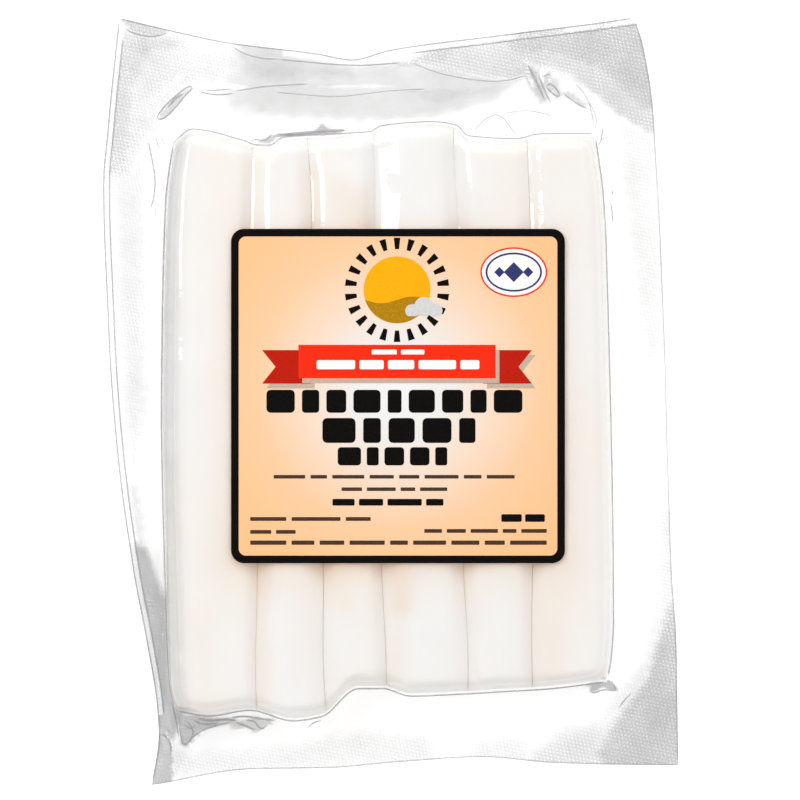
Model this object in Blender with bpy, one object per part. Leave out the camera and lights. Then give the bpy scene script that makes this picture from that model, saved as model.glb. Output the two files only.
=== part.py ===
"""A clear vacuum pouch of six string cheese sticks, lying flat with its label up.

Sizes are in millimetres and become metres when the meshes are made. +X is the pouch's
right side, +Y its top edge and +Z the label side. Every point of the pouch has an across
value, which is 0 to 6 over the six sticks and -1 or 7 at the pouch's own edge, and an
along value, which is 0 to 1 over a stick's length and -1 or 2 at the pouch's own edge.
"""

import math

import bpy
import numpy as np

MM = 0.001

# Sticks: where the dividing lines lie at two heights, and where each end lies
STICKS = 6
LOW_LINE_Y = -50.0
HIGH_LINE_Y = 44.0
LOW_DIVIDES = (-28.1, -14.0, -1.4, 15.8, 29.8)
HIGH_DIVIDES = (-29.2, -17.0, -3.6, 13.7, 28.8)
BLOCK_LEFT = ((-66, -45.0), (-59, -46.5), (-46, -47.1), (-4, -48.1), (19, -47.9), (42, -47.2), (57, -45.2))
BLOCK_RIGHT = ((-60, 45.0), (-54, 46.2), (-46, 46.7), (32, 45.2), (44, 44.5), (57, 42.7))
TOP_ENDS = (
    (0, 54.8), (0.2, 57.3), (0.85, 55.1), (1.05, 54.0), (1.3, 53.9), (1.55, 55.6), (2.5, 56.4), (2.95, 56.8),
    (3.12, 58.1), (3.75, 58.9), (4.05, 58.1), (4.2, 55.9), (4.85, 55.3), (5.2, 56.3), (6, 56.4),
)
BOTTOM_ENDS = (
    (0, -64.9), (0.4, -66.0), (0.9, -64.8), (1.5, -67.0), (1.9, -66.2), (2.55, -60.2), (2.95, -60.2),
    (3.3, -61.8), (3.9, -61.4), (4.5, -60.9), (5.2, -60.3), (6, -58.8),
)

# Section of the block: the sticks are pressed to one height and rounded by the film
BLOCK_HEIGHT = 14.0
SIDE_ROUND = 4.6
END_ROUND = 3.8
CROWN = 0.45
GROOVE_DEPTH = 1.7
GROOVE_REACH = 2.3
UNDER_GROOVE_DEPTH = 1.1
UNDER_FLAT_SHARE = 0.55

# Pouch outline, each edge as (place along it, place across it)
LEFT_EDGE = (
    (-80.9, -50.5), (-70, -49.0), (-64, -49.4), (-50, -51.6), (-35.5, -54.4), (-4, -58.4), (19, -59.8),
    (46.6, -60.7), (57, -59.8), (80.9, -57.3),
)
RIGHT_EDGE = ((-76.7, 60.7), (-50, 60.2), (-36, 59.3), (20.6, 57.5), (61, 55.3), (75.4, 53.0), (80.9, 51.1))
TOP_EDGE = ((-57.3, 80.9), (-46.6, 78.5), (-33.8, 75.8), (-15.3, 73.5), (-8.2, 72.3), (-0.2, 74.3), (20.2, 77.1), (51.1, 80.9))
BOTTOM_EDGE = ((-50.5, -80.9), (-28.9, -77.4), (-13, -77.2), (1.9, -75.9), (19.1, -74.9), (33.8, -76.1), (60.7, -76.7))

# Sealed film border: its height where it leaves the sticks, and how its edge rises and waves
SEAL_HEIGHT = 5.6
SEAL_THICKNESS = 0.7
EDGE_RISE = 1.6
CORNER_RISES = {"low left": -3.4, "low right": -3.0, "high left": 1.2, "high right": 2.0}
WAVE_HEIGHT = 0.5
WAVE_LENGTHS = (37.0, 29.0)
TENT_HEIGHT = 1.0
TENT_REACH = 2.4
SIDE_BORDER = 12.0
END_BORDER = 17.0

# Larger creases of the film: both ends, half width and height
CREASES = (
    ((-40.0, 64.7), (23.0, 64.7), 2.4, 0.9),
    ((-49.5, 60.3), (-41.5, 66.2), 2.4, 1.4),
    ((29.2, 76.0), (55.5, 59.2), 3.2, 0.9),
    ((33.8, 68.0), (40.8, 62.4), 2.4, 1.2),
    ((-43.8, -72.7), (-45.1, -65.9), 2.4, 1.5),
    ((-36.9, -68.9), (-27.9, -68.5), 2.4, 1.1),
    ((45.2, -58.4), (48.5, -61.5), 2.4, 0.9),
)

# Label on the front film
LABEL_CENTRE = (1.5, 1.25)
LABEL_SIZE = (69.8, 69.9)
LABEL_CORNER = 2.7
LABEL_THICKNESS = 0.25
LABEL_GAP = 0.3
CORNER_STEPS = 6

# Grid lines of the pouch: shares of a border, of a stick's width and of a stick's length
BORDER_SHARES = (0.0, 0.14, 0.36, 0.58, 0.78, 0.92)
OUTER_STICK_SHARES = (0.0, 0.012, 0.045, 0.11, 0.22, 0.5, 0.78, 0.94)
INNER_STICK_SHARES = (0.0, 0.06, 0.2, 0.4, 0.6, 0.8, 0.94)
END_BORDER_SHARES = (0.0, 0.12, 0.24, 0.36, 0.48, 0.6, 0.72, 0.84, 0.94)
END_SHARES = (0.0, 0.002, 0.008, 0.018, 0.034, 0.07)
MIDDLE_SHARES = (0.16, 0.27, 0.38, 0.5, 0.62, 0.73, 0.84)
SETTLE_ROUNDS = 6

FILM_COLOUR = (0.91, 0.89, 0.85, 1.0)
LABEL_COLOUR = (1.0, 0.62, 0.34, 1.0)
SHARP_ANGLE = math.radians(40)


def curve_through(points):
    """Return a smooth function through (place, value) points, which doesn't overshoot them."""
    places, values = (np.array(column, float) for column in zip(*points))
    slopes = np.diff(values) / np.diff(places)
    tangents = np.zeros(len(places))
    tangents[0], tangents[-1] = slopes[0], slopes[-1]
    for i, (before, after) in enumerate(zip(slopes, slopes[1:]), start=1):
        if before * after > 0:
            tangents[i] = 2 * before * after / (before + after)

    def value_at(place):
        place = min(max(place, places[0]), places[-1])
        i = min(int(np.searchsorted(places, place, side="right")) - 1, len(slopes) - 1)
        span = places[i + 1] - places[i]
        t = (place - places[i]) / span
        start = (1 + 2 * t) * (1 - t) ** 2 * values[i] + t * (1 - t) ** 2 * span * tangents[i]
        end = t * t * (3 - 2 * t) * values[i + 1] + t * t * (t - 1) * span * tangents[i + 1]
        return float(start + end)

    return value_at


left_edge = curve_through(LEFT_EDGE)
right_edge = curve_through(RIGHT_EDGE)
top_edge = curve_through(TOP_EDGE)
bottom_edge = curve_through(BOTTOM_EDGE)
block_left = curve_through(BLOCK_LEFT)
block_right = curve_through(BLOCK_RIGHT)
top_end = curve_through(TOP_ENDS)
bottom_end = curve_through(BOTTOM_ENDS)


def between(low, high, share):
    """Return the value that lies this share of the way from low to high."""
    return low + (high - low) * share


def clamp(value, low, high):
    """Return value, kept between low and high."""
    return min(max(value, low), high)


def divide(line, y):
    """Return the x of a stick's dividing line at y: line 0 is the block's left side, 6 its right."""
    if line == 0:
        return block_left(y)
    if line == STICKS:
        return block_right(y)
    share = (y - LOW_LINE_Y) / (HIGH_LINE_Y - LOW_LINE_Y)
    return between(LOW_DIVIDES[line - 1], HIGH_DIVIDES[line - 1], share)


def across_place(across, y):
    """Return the x of an across value at y."""
    if across < 0:
        return between(block_left(y), left_edge(y), -across)
    if across > STICKS:
        return between(block_right(y), right_edge(y), across - STICKS)
    line = min(int(across), STICKS - 1)
    return between(divide(line, y), divide(line + 1, y), across - line)


def along_place(along, across, x):
    """Return the y of an along value, at an across value and its x."""
    stick_place = clamp(across, 0, STICKS)
    low, high = bottom_end(stick_place), top_end(stick_place)
    if along < 0:
        return between(low, bottom_edge(x), -along)
    if along > 1:
        return between(high, top_edge(x), along - 1)
    return between(low, high, along)


def place(across, along):
    """Return (x, y) of a point of the pouch, found by settling x and y on each other."""
    y = 0.0
    for _ in range(SETTLE_ROUNDS):
        x = across_place(across, y)
        y = along_place(along, across, x)
    return x, y


def outside(across, along):
    """Return how far a point lies past the sticks, as shares of the side and end borders."""
    return max(-across, across - STICKS, 0.0), max(-along, along - 1, 0.0)


def crease_height(x, y):
    """Return the height that the film's creases add at a point."""
    total = 0.0
    for (x0, y0), (x1, y1), half_width, height in CREASES:
        run_x, run_y = x1 - x0, y1 - y0
        share = ((x - x0) * run_x + (y - y0) * run_y) / (run_x**2 + run_y**2)
        share = clamp(share, 0, 1)
        away = math.hypot(x - x0 - share * run_x, y - y0 - share * run_y)
        total += height * math.exp(-((away / half_width) ** 2))
    return total


def seal_middle(across, along, x, y):
    """Return the height of the film border's middle plane at a point."""
    side, end = outside(across, along)
    share_x = clamp((x - LEFT_EDGE[0][1]) / (RIGHT_EDGE[0][1] - LEFT_EDGE[0][1]), 0, 1)
    share_y = clamp((y - BOTTOM_EDGE[0][1]) / (TOP_EDGE[0][1] - BOTTOM_EDGE[0][1]), 0, 1)
    low = between(CORNER_RISES["low left"], CORNER_RISES["low right"], share_x)
    high = between(CORNER_RISES["high left"], CORNER_RISES["high right"], share_x)
    waves = math.sin(math.tau * x / WAVE_LENGTHS[0]) + math.sin(math.tau * y / WAVE_LENGTHS[1])
    reach = min(math.hypot(side, end), 1.0)
    lift = between(low, high, share_y) * side * end - EDGE_RISE * (reach - side * end) + WAVE_HEIGHT * waves * reach
    return SEAL_HEIGHT + lift + crease_height(x, y) * min(1.0, 3 * reach)


def quarter_round(distance, radius):
    """Return 0 at an edge and 1 a radius inside it, along a quarter circle."""
    share = clamp(distance / radius, 0, 1)
    return math.sqrt(1 - (1 - share) ** 2)


def rounding(across, along):
    """Return how far the block's rounded sides and ends let the film rise, from 0 to 1."""
    widths = (divide(1, 0) - divide(0, 0), divide(STICKS, 0) - divide(STICKS - 1, 0))
    length = top_end(clamp(across, 0, STICKS)) - bottom_end(clamp(across, 0, STICKS))
    side = min(across * widths[0], (STICKS - across) * widths[1])
    end = min(along, 1 - along) * length
    return quarter_round(side, SIDE_ROUND) * quarter_round(end, END_ROUND)


def groove_share(across):
    """Return 1 on the dividing line between two sticks, falling to 0 a little way from it."""
    line = round(across)
    if line in (0, STICKS):
        return 0.0
    stick = min(int(across), STICKS - 1)
    width = divide(stick + 1, 0) - divide(stick, 0)
    return math.exp(-abs(across - line) * width / (GROOVE_REACH / 2))


def top_height(across, along, x, y):
    """Return the height of the pouch's upper face."""
    side, end = outside(across, along)
    seal_top = seal_middle(across, along, x, y) + SEAL_THICKNESS / 2
    tent = TENT_HEIGHT * math.exp(-math.hypot(side * SIDE_BORDER, end * END_BORDER) / TENT_REACH)
    if side or end:
        return seal_top + tent
    across_stick = 2 * (across % 1) - 1 if across < STICKS else 1
    crest = BLOCK_HEIGHT - CROWN * across_stick**2 - GROOVE_DEPTH * groove_share(across)
    return between(seal_top + tent, crest, rounding(across, along))


def bottom_height(across, along, x, y):
    """Return the height of the pouch's lower face, which is flat under the middle of each stick."""
    seal_bottom = seal_middle(across, along, x, y) - SEAL_THICKNESS / 2
    side, end = outside(across, along)
    if side or end:
        return seal_bottom
    off_flat = clamp((abs(2 * (across % 1) - 1) - UNDER_FLAT_SHARE) / (1 - UNDER_FLAT_SHARE), 0, 1)
    line = round(across)
    groove = UNDER_GROOVE_DEPTH * off_flat**2 if line not in (0, STICKS) else 0.0
    return between(seal_bottom, groove, rounding(across, along))


def across_lines():
    """Return the across values of the pouch's grid lines, left to right."""
    left = [-1 + share for share in BORDER_SHARES]
    first = [share for share in OUTER_STICK_SHARES]
    inner = [stick + share for stick in range(1, STICKS - 1) for share in INNER_STICK_SHARES]
    last = [STICKS - share for share in reversed(OUTER_STICK_SHARES)]
    right = [STICKS + 1 - share for share in reversed(BORDER_SHARES)]
    return left + first + inner + [STICKS - 1] + last + right


def along_lines():
    """Return the along values of the pouch's grid lines, bottom to top."""
    low = [-1 + share for share in END_BORDER_SHARES]
    high = [2 - share for share in reversed(END_BORDER_SHARES)]
    return low + list(END_SHARES) + list(MIDDLE_SHARES) + [1 - share for share in reversed(END_SHARES)] + high


def closed_between(tops, bottoms):
    """Return the vertices and faces of the closed body between two grids of points."""
    rows, columns = len(tops), len(tops[0])
    under = rows * columns
    vertices = [point for grid in (tops, bottoms) for row in grid for point in row]
    faces = []
    for row in range(rows - 1):
        for column in range(columns - 1):
            a = row * columns + column
            b, c, d = a + 1, a + columns + 1, a + columns
            faces.append((a, b, c, d))
            faces.append((d + under, c + under, b + under, a + under))
    rim = list(range(columns))
    rim += [row * columns + columns - 1 for row in range(1, rows)]
    rim += [(rows - 1) * columns + column for column in range(columns - 2, -1, -1)]
    rim += [row * columns for row in range(rows - 2, 0, -1)]
    for here, there in zip(rim, rim[1:] + rim[:1]):
        faces.append((here, here + under, there + under, there))
    return vertices, faces


def material(name, colour, roughness, metallic=0.0):
    """Return a plain surface finish."""
    finish = bpy.data.materials.new(name)
    finish.use_nodes = True
    shader = finish.node_tree.nodes["Principled BSDF"]
    shader.inputs["Base Color"].default_value = colour
    shader.inputs["Roughness"].default_value = roughness
    shader.inputs["Metallic"].default_value = metallic
    return finish


def add_object(name, vertices, faces, finish):
    """Add one closed body to the scene, from points in millimetres."""
    mesh = bpy.data.meshes.new(name)
    mesh.from_pydata([tuple(value * MM for value in point) for point in vertices], [], faces)
    mesh.validate()
    mesh.shade_smooth()
    mesh.set_sharp_from_angle(angle=SHARP_ANGLE)
    mesh.materials.append(finish)
    body = bpy.data.objects.new(name, mesh)
    bpy.context.scene.collection.objects.link(body)
    return body


def make_pouch():
    """Make the film pouch with the sticks pressed inside it, as one body."""
    tops, bottoms = [], []
    for along in along_lines():
        spots = [(across, *place(across, along)) for across in across_lines()]
        tops.append([(x, y, top_height(across, along, x, y)) for across, x, y in spots])
        bottoms.append([(x, y, bottom_height(across, along, x, y)) for across, x, y in spots])
    vertices, faces = closed_between(tops, bottoms)
    return add_object("bag", vertices, faces, material("film over cheese", FILM_COLOUR, 0.25))


def label_outline():
    """Return the label's outline, counter-clockwise, with a quarter circle at each corner."""
    half_width, half_height = LABEL_SIZE[0] / 2 - LABEL_CORNER, LABEL_SIZE[1] / 2 - LABEL_CORNER
    points = []
    for quarter, (sign_x, sign_y) in enumerate(((1, 1), (-1, 1), (-1, -1), (1, -1))):
        for step in range(CORNER_STEPS + 1):
            angle = math.pi / 2 * (quarter + step / CORNER_STEPS)
            x = LABEL_CENTRE[0] + sign_x * half_width + LABEL_CORNER * math.cos(angle)
            y = LABEL_CENTRE[1] + sign_y * half_height + LABEL_CORNER * math.sin(angle)
            points.append((x, y))
    return points


def make_label():
    """Make the flat label that lies on the front film."""
    outline = label_outline()
    count = len(outline)
    low = BLOCK_HEIGHT + LABEL_GAP
    vertices = [(x, y, z) for z in (low, low + LABEL_THICKNESS) for x, y in outline]
    faces = [tuple(range(count, 2 * count)), tuple(range(count - 1, -1, -1))]
    for here in range(count):
        there = (here + 1) % count
        faces.append((here, there, there + count, here + count))
    return add_object("label", vertices, faces, material("label paper", LABEL_COLOUR, 0.45))


def main():
    """Clear the scene and build the pack."""
    for thing in list(bpy.data.objects):
        bpy.data.objects.remove(thing)
    make_pouch()
    make_label()


main()
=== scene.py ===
"""Scene of a clear vacuum pouch of six string cheese sticks, seen from straight above.

Sizes are in millimetres until a mesh is made. Every point of the pouch has an across
value, 0 to 6 over the six sticks and -1 or 7 at the pouch's own edge, and an along
value, 0 to 1 over a stick's length and -1 or 2 at the pouch's own edge.
"""

import logging
import math
from collections.abc import Callable, Sequence
from dataclasses import dataclass, field
from enum import Enum
from functools import cache, reduce

import bpy
import numpy as np
from mathutils import Matrix, Vector


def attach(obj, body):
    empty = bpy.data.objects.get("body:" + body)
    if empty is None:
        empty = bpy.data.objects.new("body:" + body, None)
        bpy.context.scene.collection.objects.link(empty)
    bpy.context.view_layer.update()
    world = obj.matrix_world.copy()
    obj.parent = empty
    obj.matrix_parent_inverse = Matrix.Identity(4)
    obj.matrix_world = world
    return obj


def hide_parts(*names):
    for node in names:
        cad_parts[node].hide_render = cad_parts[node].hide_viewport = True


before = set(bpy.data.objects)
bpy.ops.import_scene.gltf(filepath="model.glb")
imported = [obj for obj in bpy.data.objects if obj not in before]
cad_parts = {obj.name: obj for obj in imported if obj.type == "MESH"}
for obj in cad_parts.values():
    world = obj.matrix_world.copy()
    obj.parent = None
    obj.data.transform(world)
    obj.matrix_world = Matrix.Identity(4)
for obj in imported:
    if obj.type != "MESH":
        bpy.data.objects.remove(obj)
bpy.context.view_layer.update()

MM = 0.001
STICKS = 6
LABEL_CENTRE = (1.5, 1.25)

# How fast the sides of the hazy patches wander with x and y.
RAG_RATES = ((0.9, 2.3), (1.3, -1.1))

Array = np.ndarray
Point = tuple[float, float]
Triple = tuple[float, float, float]
Colour = tuple[float, float, float]
Outline = Sequence[Point]
Faces = list[list[int]]

log = logging.getLogger("cheese_pack")


class Slot(Enum):
    """The record's material slots."""

    FILM = "film"
    CHEESE = "cheese"
    PAPER = "label_paper"
    PRINT = "print"


@dataclass(frozen=True)
class Curve:
    """A smooth line through (place, value) points, which doesn't overshoot them."""

    points: tuple[Point, ...]

    def at(self, place: Array) -> Array:
        """Read the line.

        Args:
            place: Places along the line. Those past its ends take the end's value.

        Returns:
            The line's value at each place.
        """
        places, values = (np.array(column, float) for column in zip(*self.points))
        slopes = np.diff(values) / np.diff(places)
        tangents = np.zeros(len(places))
        tangents[0], tangents[-1] = slopes[0], slopes[-1]
        before, after = slopes[:-1], slopes[1:]
        same = before * after > 0
        total = np.where(same, before + after, 1.0)
        tangents[1:-1] = np.where(same, 2 * before * after / total, 0.0)
        place = np.clip(place, places[0], places[-1])
        i = np.clip(np.searchsorted(places, place, side="right") - 1, 0, len(slopes) - 1)
        span = places[i + 1] - places[i]
        t = (place - places[i]) / span
        start = (1 + 2 * t) * (1 - t) ** 2 * values[i] + t * (1 - t) ** 2 * span * tangents[i]
        end = t * t * (3 - 2 * t) * values[i + 1] + t * t * (t - 1) * span * tangents[i + 1]
        return start + end


@dataclass(frozen=True)
class Stroke:
    """A soft-edged stroke on the pouch, such as a crease or a band of hazy film."""

    start: Point
    end: Point
    half_width: float
    strength: float

    def at(self, x: Array, y: Array) -> Array:
        """Read the stroke.

        Args:
            x: Places across the pouch, in millimetres.
            y: Places along the pouch, in millimetres.

        Returns:
            The stroke's strength at each place, which falls off smoothly from its middle line.
        """
        run = np.subtract(self.end, self.start)
        share = ((x - self.start[0]) * run[0] + (y - self.start[1]) * run[1]) / (run @ run)
        share = np.clip(share, 0, 1)
        away = np.hypot(x - self.start[0] - share * run[0], y - self.start[1] - share * run[1])
        return self.strength * np.exp(-((away / self.half_width) ** 2))


@dataclass(frozen=True)
class Patch:
    """A part of the pouch's border that is hazy, knurled or both, with soft sides; its haze is partly the
    seal's own haze and partly painted shade and painted dark reflection where the film tilts.
    """

    outline: tuple[Point, ...]
    haze_and_shade: float
    dots: float
    softness: float
    raggedness: float = 0.2
    on_lip: bool = False

    def at(self, x: Array, y: Array) -> Array:
        """Read the patch, whose sides wander a little.

        Args:
            x: Places across the pouch, in millimetres.
            y: Places along the pouch, in millimetres.

        Returns:
            1 well inside the patch and 0 outside it, with a smooth change between them.
        """
        away = np.full_like(x, np.inf)
        inside = np.zeros(x.shape, bool)
        rag = min(self.raggedness, self.softness)
        shift_x, shift_y = (rag * np.sin(rate_x * x + rate_y * y) for rate_x, rate_y in RAG_RATES)
        x, y = x + shift_x, y + shift_y
        for (ax, ay), (bx, by) in zip(self.outline, self.outline[1:] + self.outline[:1]):
            run_x, run_y = bx - ax, by - ay
            share = np.clip(((x - ax) * run_x + (y - ay) * run_y) / (run_x**2 + run_y**2), 0, 1)
            away = np.minimum(away, np.hypot(x - ax - share * run_x, y - ay - share * run_y))
            crosses = (ay > y) != (by > y)
            inside ^= crosses & (x < ax + (y - ay) * run_x / (by - ay if by != ay else 1.0))
        return smooth_step(np.where(inside, away, -away), -self.softness, self.softness)


@dataclass(frozen=True)
class Groove:
    """The valley that the film makes over the line between two sticks."""

    depth: float
    left: float
    right: float
    slit: float = 0.05
    slit_reach: float = 0.35

    def drop(self, offset: Array) -> Array:
        """Find how far the film sinks beside the line.

        Args:
            offset: Signed distances from the line.

        Returns:
            The depth of the valley at each of them.
        """
        reach = np.where(offset < 0, self.left, self.right)
        slit = self.slit * np.exp(-np.abs(offset) / self.slit_reach)
        return self.depth * np.exp(-((offset / reach) ** 2)) + slit


def quarter_round(distance: Array, radius: float) -> Array:
    """Return 0 at an edge and 1 a radius inside it, along a quarter circle."""
    share = np.clip(distance / radius, 0, 1)
    return np.sqrt(1 - (1 - share) ** 2)


def smooth_step(value: Array, low: float, high: float) -> Array:
    """Return 0 below low and 1 above high, with a smooth rise between them."""
    share = np.clip((value - low) / (high - low), 0, 1)
    return share * share * (3 - 2 * share)


def even_ends(count: int) -> Array:
    """Return count shares from 0 to 1 that lie closer together towards both ends."""
    return 0.5 - 0.5 * np.cos(np.linspace(0, math.pi, count))


def between(low: Array, high: Array, share: Array) -> Array:
    """Return what lies the given share of the way from low to high."""
    return low + (high - low) * share


def stick_of(across: Array) -> Array:
    """Return the number of the stick at or nearest to each across value, from 0 to 5."""
    return np.clip(np.floor(across), 0, STICKS - 1).astype(int)


def sides_of(lines: Array, stick: Array) -> list[Array]:
    """Return the lines at the left and at the right of each place's stick."""
    return [np.take_along_axis(lines, stick[None] + side, 0)[0] for side in (0, 1)]


def nearest_line(across: Array) -> tuple[Array, Array]:
    """Return the nearest line beside a stick, and whether it is a side of the whole block."""
    line = np.round(across)
    return line, (line == 0) | (line == STICKS)


@dataclass(frozen=True)
class Places:
    """Places on the pouch, each by its across and along values and by its x and y."""

    across: Array
    along: Array
    x: Array
    y: Array

    def outside(self) -> tuple[Array, Array]:
        """Return how far each lies past the sticks, as shares of the side and end borders."""
        side = np.maximum(np.maximum(-self.across, self.across - STICKS), 0)
        return side, np.maximum(np.maximum(-self.along, self.along - 1), 0)

    def on_border(self) -> Array:
        """Return whether each lies on the border round the sticks."""
        side, end = self.outside()
        return (side > 0) | (end > 0)

    def points(self, heights: Array) -> Array:
        """Return the places with their heights, as rows by columns by 3."""
        return np.stack([self.x, self.y, heights], 2)


@dataclass(frozen=True)
class PouchForm:
    """The pouch's outline and heights, from the same sizes as the solid model, in millimetres."""

    low_line_y: float = -50.0
    high_line_y: float = 44.0
    low_divides: tuple[float, ...] = (-28.1, -14.0, -1.4, 15.8, 29.8)
    high_divides: tuple[float, ...] = (-29.2, -17.0, -3.6, 13.7, 28.8)
    wobble: float = 0.3
    wobble_lengths: tuple[float, ...] = (46.0, 39.0, 52.0, 43.0, 58.0)
    block_left: Curve = Curve((
        (-66, -45.0), (-59, -46.5), (-46, -47.1), (-4, -48.1), (19, -47.9), (42, -47.2), (57, -45.2),
    ))
    block_right: Curve = Curve((
        (-60, 45.0), (-54, 46.2), (-46, 46.7), (32, 45.2), (44, 44.5), (57, 42.7),
    ))
    top_ends: Curve = Curve((
        (0, 54.8), (0.2, 57.3), (0.85, 55.1), (1.05, 54.0), (1.3, 53.9), (1.55, 55.6), (2.5, 56.4),
        (2.95, 56.8), (3.12, 58.1), (3.75, 58.9), (4.05, 58.1), (4.2, 55.9), (4.85, 55.3), (5.2, 56.3),
        (6, 56.4),
    ))
    bottom_ends: Curve = Curve((
        (0, -64.9), (0.4, -66.0), (0.9, -64.8), (1.5, -67.0), (1.9, -66.2), (2.55, -60.2), (2.95, -60.2),
        (3.3, -61.8), (3.9, -61.4), (4.5, -60.9), (5.2, -60.3), (6, -58.8),
    ))
    left_edge: Curve = Curve((
        (-80.9, -50.5), (-70, -49.0), (-64, -49.4), (-50, -51.6), (-35.5, -54.4), (-4, -58.4), (19, -59.8),
        (46.6, -60.7), (57, -59.8), (80.9, -57.3),
    ))
    right_edge: Curve = Curve((
        (-76.7, 60.7), (-50, 60.2), (-36, 59.3), (20.6, 57.5), (61, 55.3), (75.4, 53.0), (80.9, 51.1),
    ))
    top_edge: Curve = Curve((
        (-57.3, 80.9), (-46.6, 78.5), (-33.8, 75.8), (-15.3, 73.5), (-8.2, 72.3), (-0.2, 74.3), (20.2, 77.1),
        (51.1, 80.9),
    ))
    bottom_edge: Curve = Curve((
        (-50.5, -80.9), (-28.9, -77.4), (-13, -77.2), (1.9, -75.9), (19.1, -74.9), (33.8, -76.1),
        (60.7, -76.7),
    ))
    block_height: float = 14.0
    side_round: float = 4.6
    end_round: float = 3.8
    crown: float = 0.45
    swell: float = 0.14
    swell_lengths: Point = (17.0, 26.0)
    swell_drift: float = 0.13
    grooves: tuple[Groove, ...] = (
        Groove(1.25, 1.8, 2.6),
        Groove(1.05, 2.4, 1.8),
        Groove(1.15, 1.9, 3.0),
        Groove(1.20, 2.2, 2.0),
        Groove(1.10, 1.9, 2.1),
    )
    dents: tuple[Stroke, ...] = (
        Stroke((-1.6, 53.0), (-0.4, 36.5), 4.6, 0.85),
        Stroke((-29.2, 50.0), (-28.8, 36.5), 2.6, 0.35),
        Stroke((13.0, 50.0), (13.6, 36.5), 2.4, 0.30),
        Stroke((-12.5, 53.0), (-9.0, 51.0), 3.0, 0.45),
        Stroke((4.7, -50.5), (4.8, -52.8), 0.9, 0.12),
        Stroke((-1.8, -57.2), (1.0, -59.0), 1.0, 0.20),
        Stroke((-12.6, -58.8), (-11.6, -59.2), 0.9, 0.15),
        Stroke((16.8, -57.8), (17.4, -57.2), 0.9, 0.12),
        Stroke((40.6, -59.2), (41.4, -58.6), 0.9, 0.12),
    )
    under_groove_depth: float = 1.1
    under_flat_share: float = 0.55
    seal_height: float = 5.6
    seal_gap: float = 0.12
    edge_rise: float = 1.6
    low_rises: Point = (-3.4, -3.0)
    high_rises: Point = (1.2, 2.0)
    wave_height: float = 0.5
    wave_lengths: Point = (37.0, 29.0)
    tent_height: float = 1.0
    tent_reach: float = 2.4
    side_border: float = 12.0
    end_border: float = 17.0
    settle_rounds: int = 6
    crease_start: float = 3.0
    creases: tuple[Stroke, ...] = (
        Stroke((-40.0, 64.7), (23.0, 64.7), 2.4, 0.45),
        Stroke((-49.5, 60.3), (-41.5, 66.2), 2.4, 1.4),
        Stroke((29.2, 76.0), (55.5, 59.2), 3.2, 0.9),
        Stroke((33.8, 68.0), (40.8, 62.4), 2.4, 1.2),
        Stroke((-43.8, -72.7), (-45.1, -65.9), 2.4, 1.5),
        Stroke((-36.9, -68.9), (-27.9, -68.5), 2.4, 1.1),
        Stroke((45.2, -58.4), (48.5, -61.5), 2.4, 0.9),
    )

    def divides(self, y: Array) -> Array:
        """Find the lines between the sticks.

        Args:
            y: Places along the pouch.

        Returns:
            For each place, the x of the block's left side, the five lines and its right side.
        """
        share = (y - self.low_line_y) / (self.high_line_y - self.low_line_y)
        lines = [self.block_left.at(y)]
        for number, (low, high) in enumerate(zip(self.low_divides, self.high_divides)):
            wobble = self.wobble * np.sin(math.tau * y / self.wobble_lengths[number] + number)
            lines.append(between(low, high, share) + wobble)
        lines.append(self.block_right.at(y))
        return np.stack(lines)

    @property
    def lines(self) -> Array:
        """Return the x of the block's sides and of the lines between its sticks, halfway up the pack."""
        return self.divides(np.zeros(1))[:, 0]

    def across_place(self, across: Array, y: Array) -> Array:
        """Find the x of places on the pouch.

        Args:
            across: Their across values.
            y: Their y.

        Returns:
            Their x.
        """
        lines = self.divides(y)
        stick = stick_of(across)
        left = lines[0] - (self.left_edge.at(y) - lines[0]) * across
        right = lines[-1] + (self.right_edge.at(y) - lines[-1]) * (across - STICKS)
        inside = between(*sides_of(lines, stick), across - stick)
        return np.select([across < 0, across > STICKS], [left, right], inside)

    def along_place(self, along: Array, across: Array, x: Array) -> Array:
        """Find the y of places on the pouch.

        Args:
            along: Their along values.
            across: Their across values.
            x: Their x.

        Returns:
            Their y.
        """
        low, high = self.ends(across)
        below = low - (self.bottom_edge.at(x) - low) * along
        above = high + (self.top_edge.at(x) - high) * (along - 1)
        return np.select([along < 0, along > 1], [below, above], between(low, high, along))

    def ends(self, across: Array) -> tuple[Array, Array]:
        """Return the y of the sticks' bottom and top ends at each across value."""
        place = np.clip(across, 0, STICKS)
        return self.bottom_ends.at(place), self.top_ends.at(place)

    def place(self, across: Array, along: Array) -> Places:
        """Find places from their across and along values, by settling x and y on each other.

        Args:
            across: Their across values.
            along: Their along values.

        Returns:
            The places.
        """
        y = np.zeros_like(across)
        for _ in range(self.settle_rounds):
            x = self.across_place(across, y)
            y = self.along_place(along, across, x)
        return Places(across, along, x, y)

    def locate(self, x: Array, y: Array) -> Places:
        """Find places from their x and y.

        Args:
            x: Places across the pouch.
            y: Places along the pouch.

        Returns:
            The places.
        """
        lines = self.divides(y)
        stick = np.clip((x[None] >= lines[1:-1]).sum(0), 0, STICKS - 1)
        low, high = sides_of(lines, stick)
        across = stick + (x - low) / (high - low)
        left = (x - lines[0]) / (lines[0] - self.left_edge.at(y))
        right = STICKS + (x - lines[-1]) / (self.right_edge.at(y) - lines[-1])
        across = np.select([x < lines[0], x > lines[-1]], [left, right], across)
        low, high = self.ends(across)
        below = (y - low) / (low - self.bottom_edge.at(x))
        above = 1 + (y - high) / (self.top_edge.at(x) - high)
        along = np.select([y < low, y > high], [below, above], (y - low) / (high - low))
        return Places(across, along, x, y)

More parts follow.
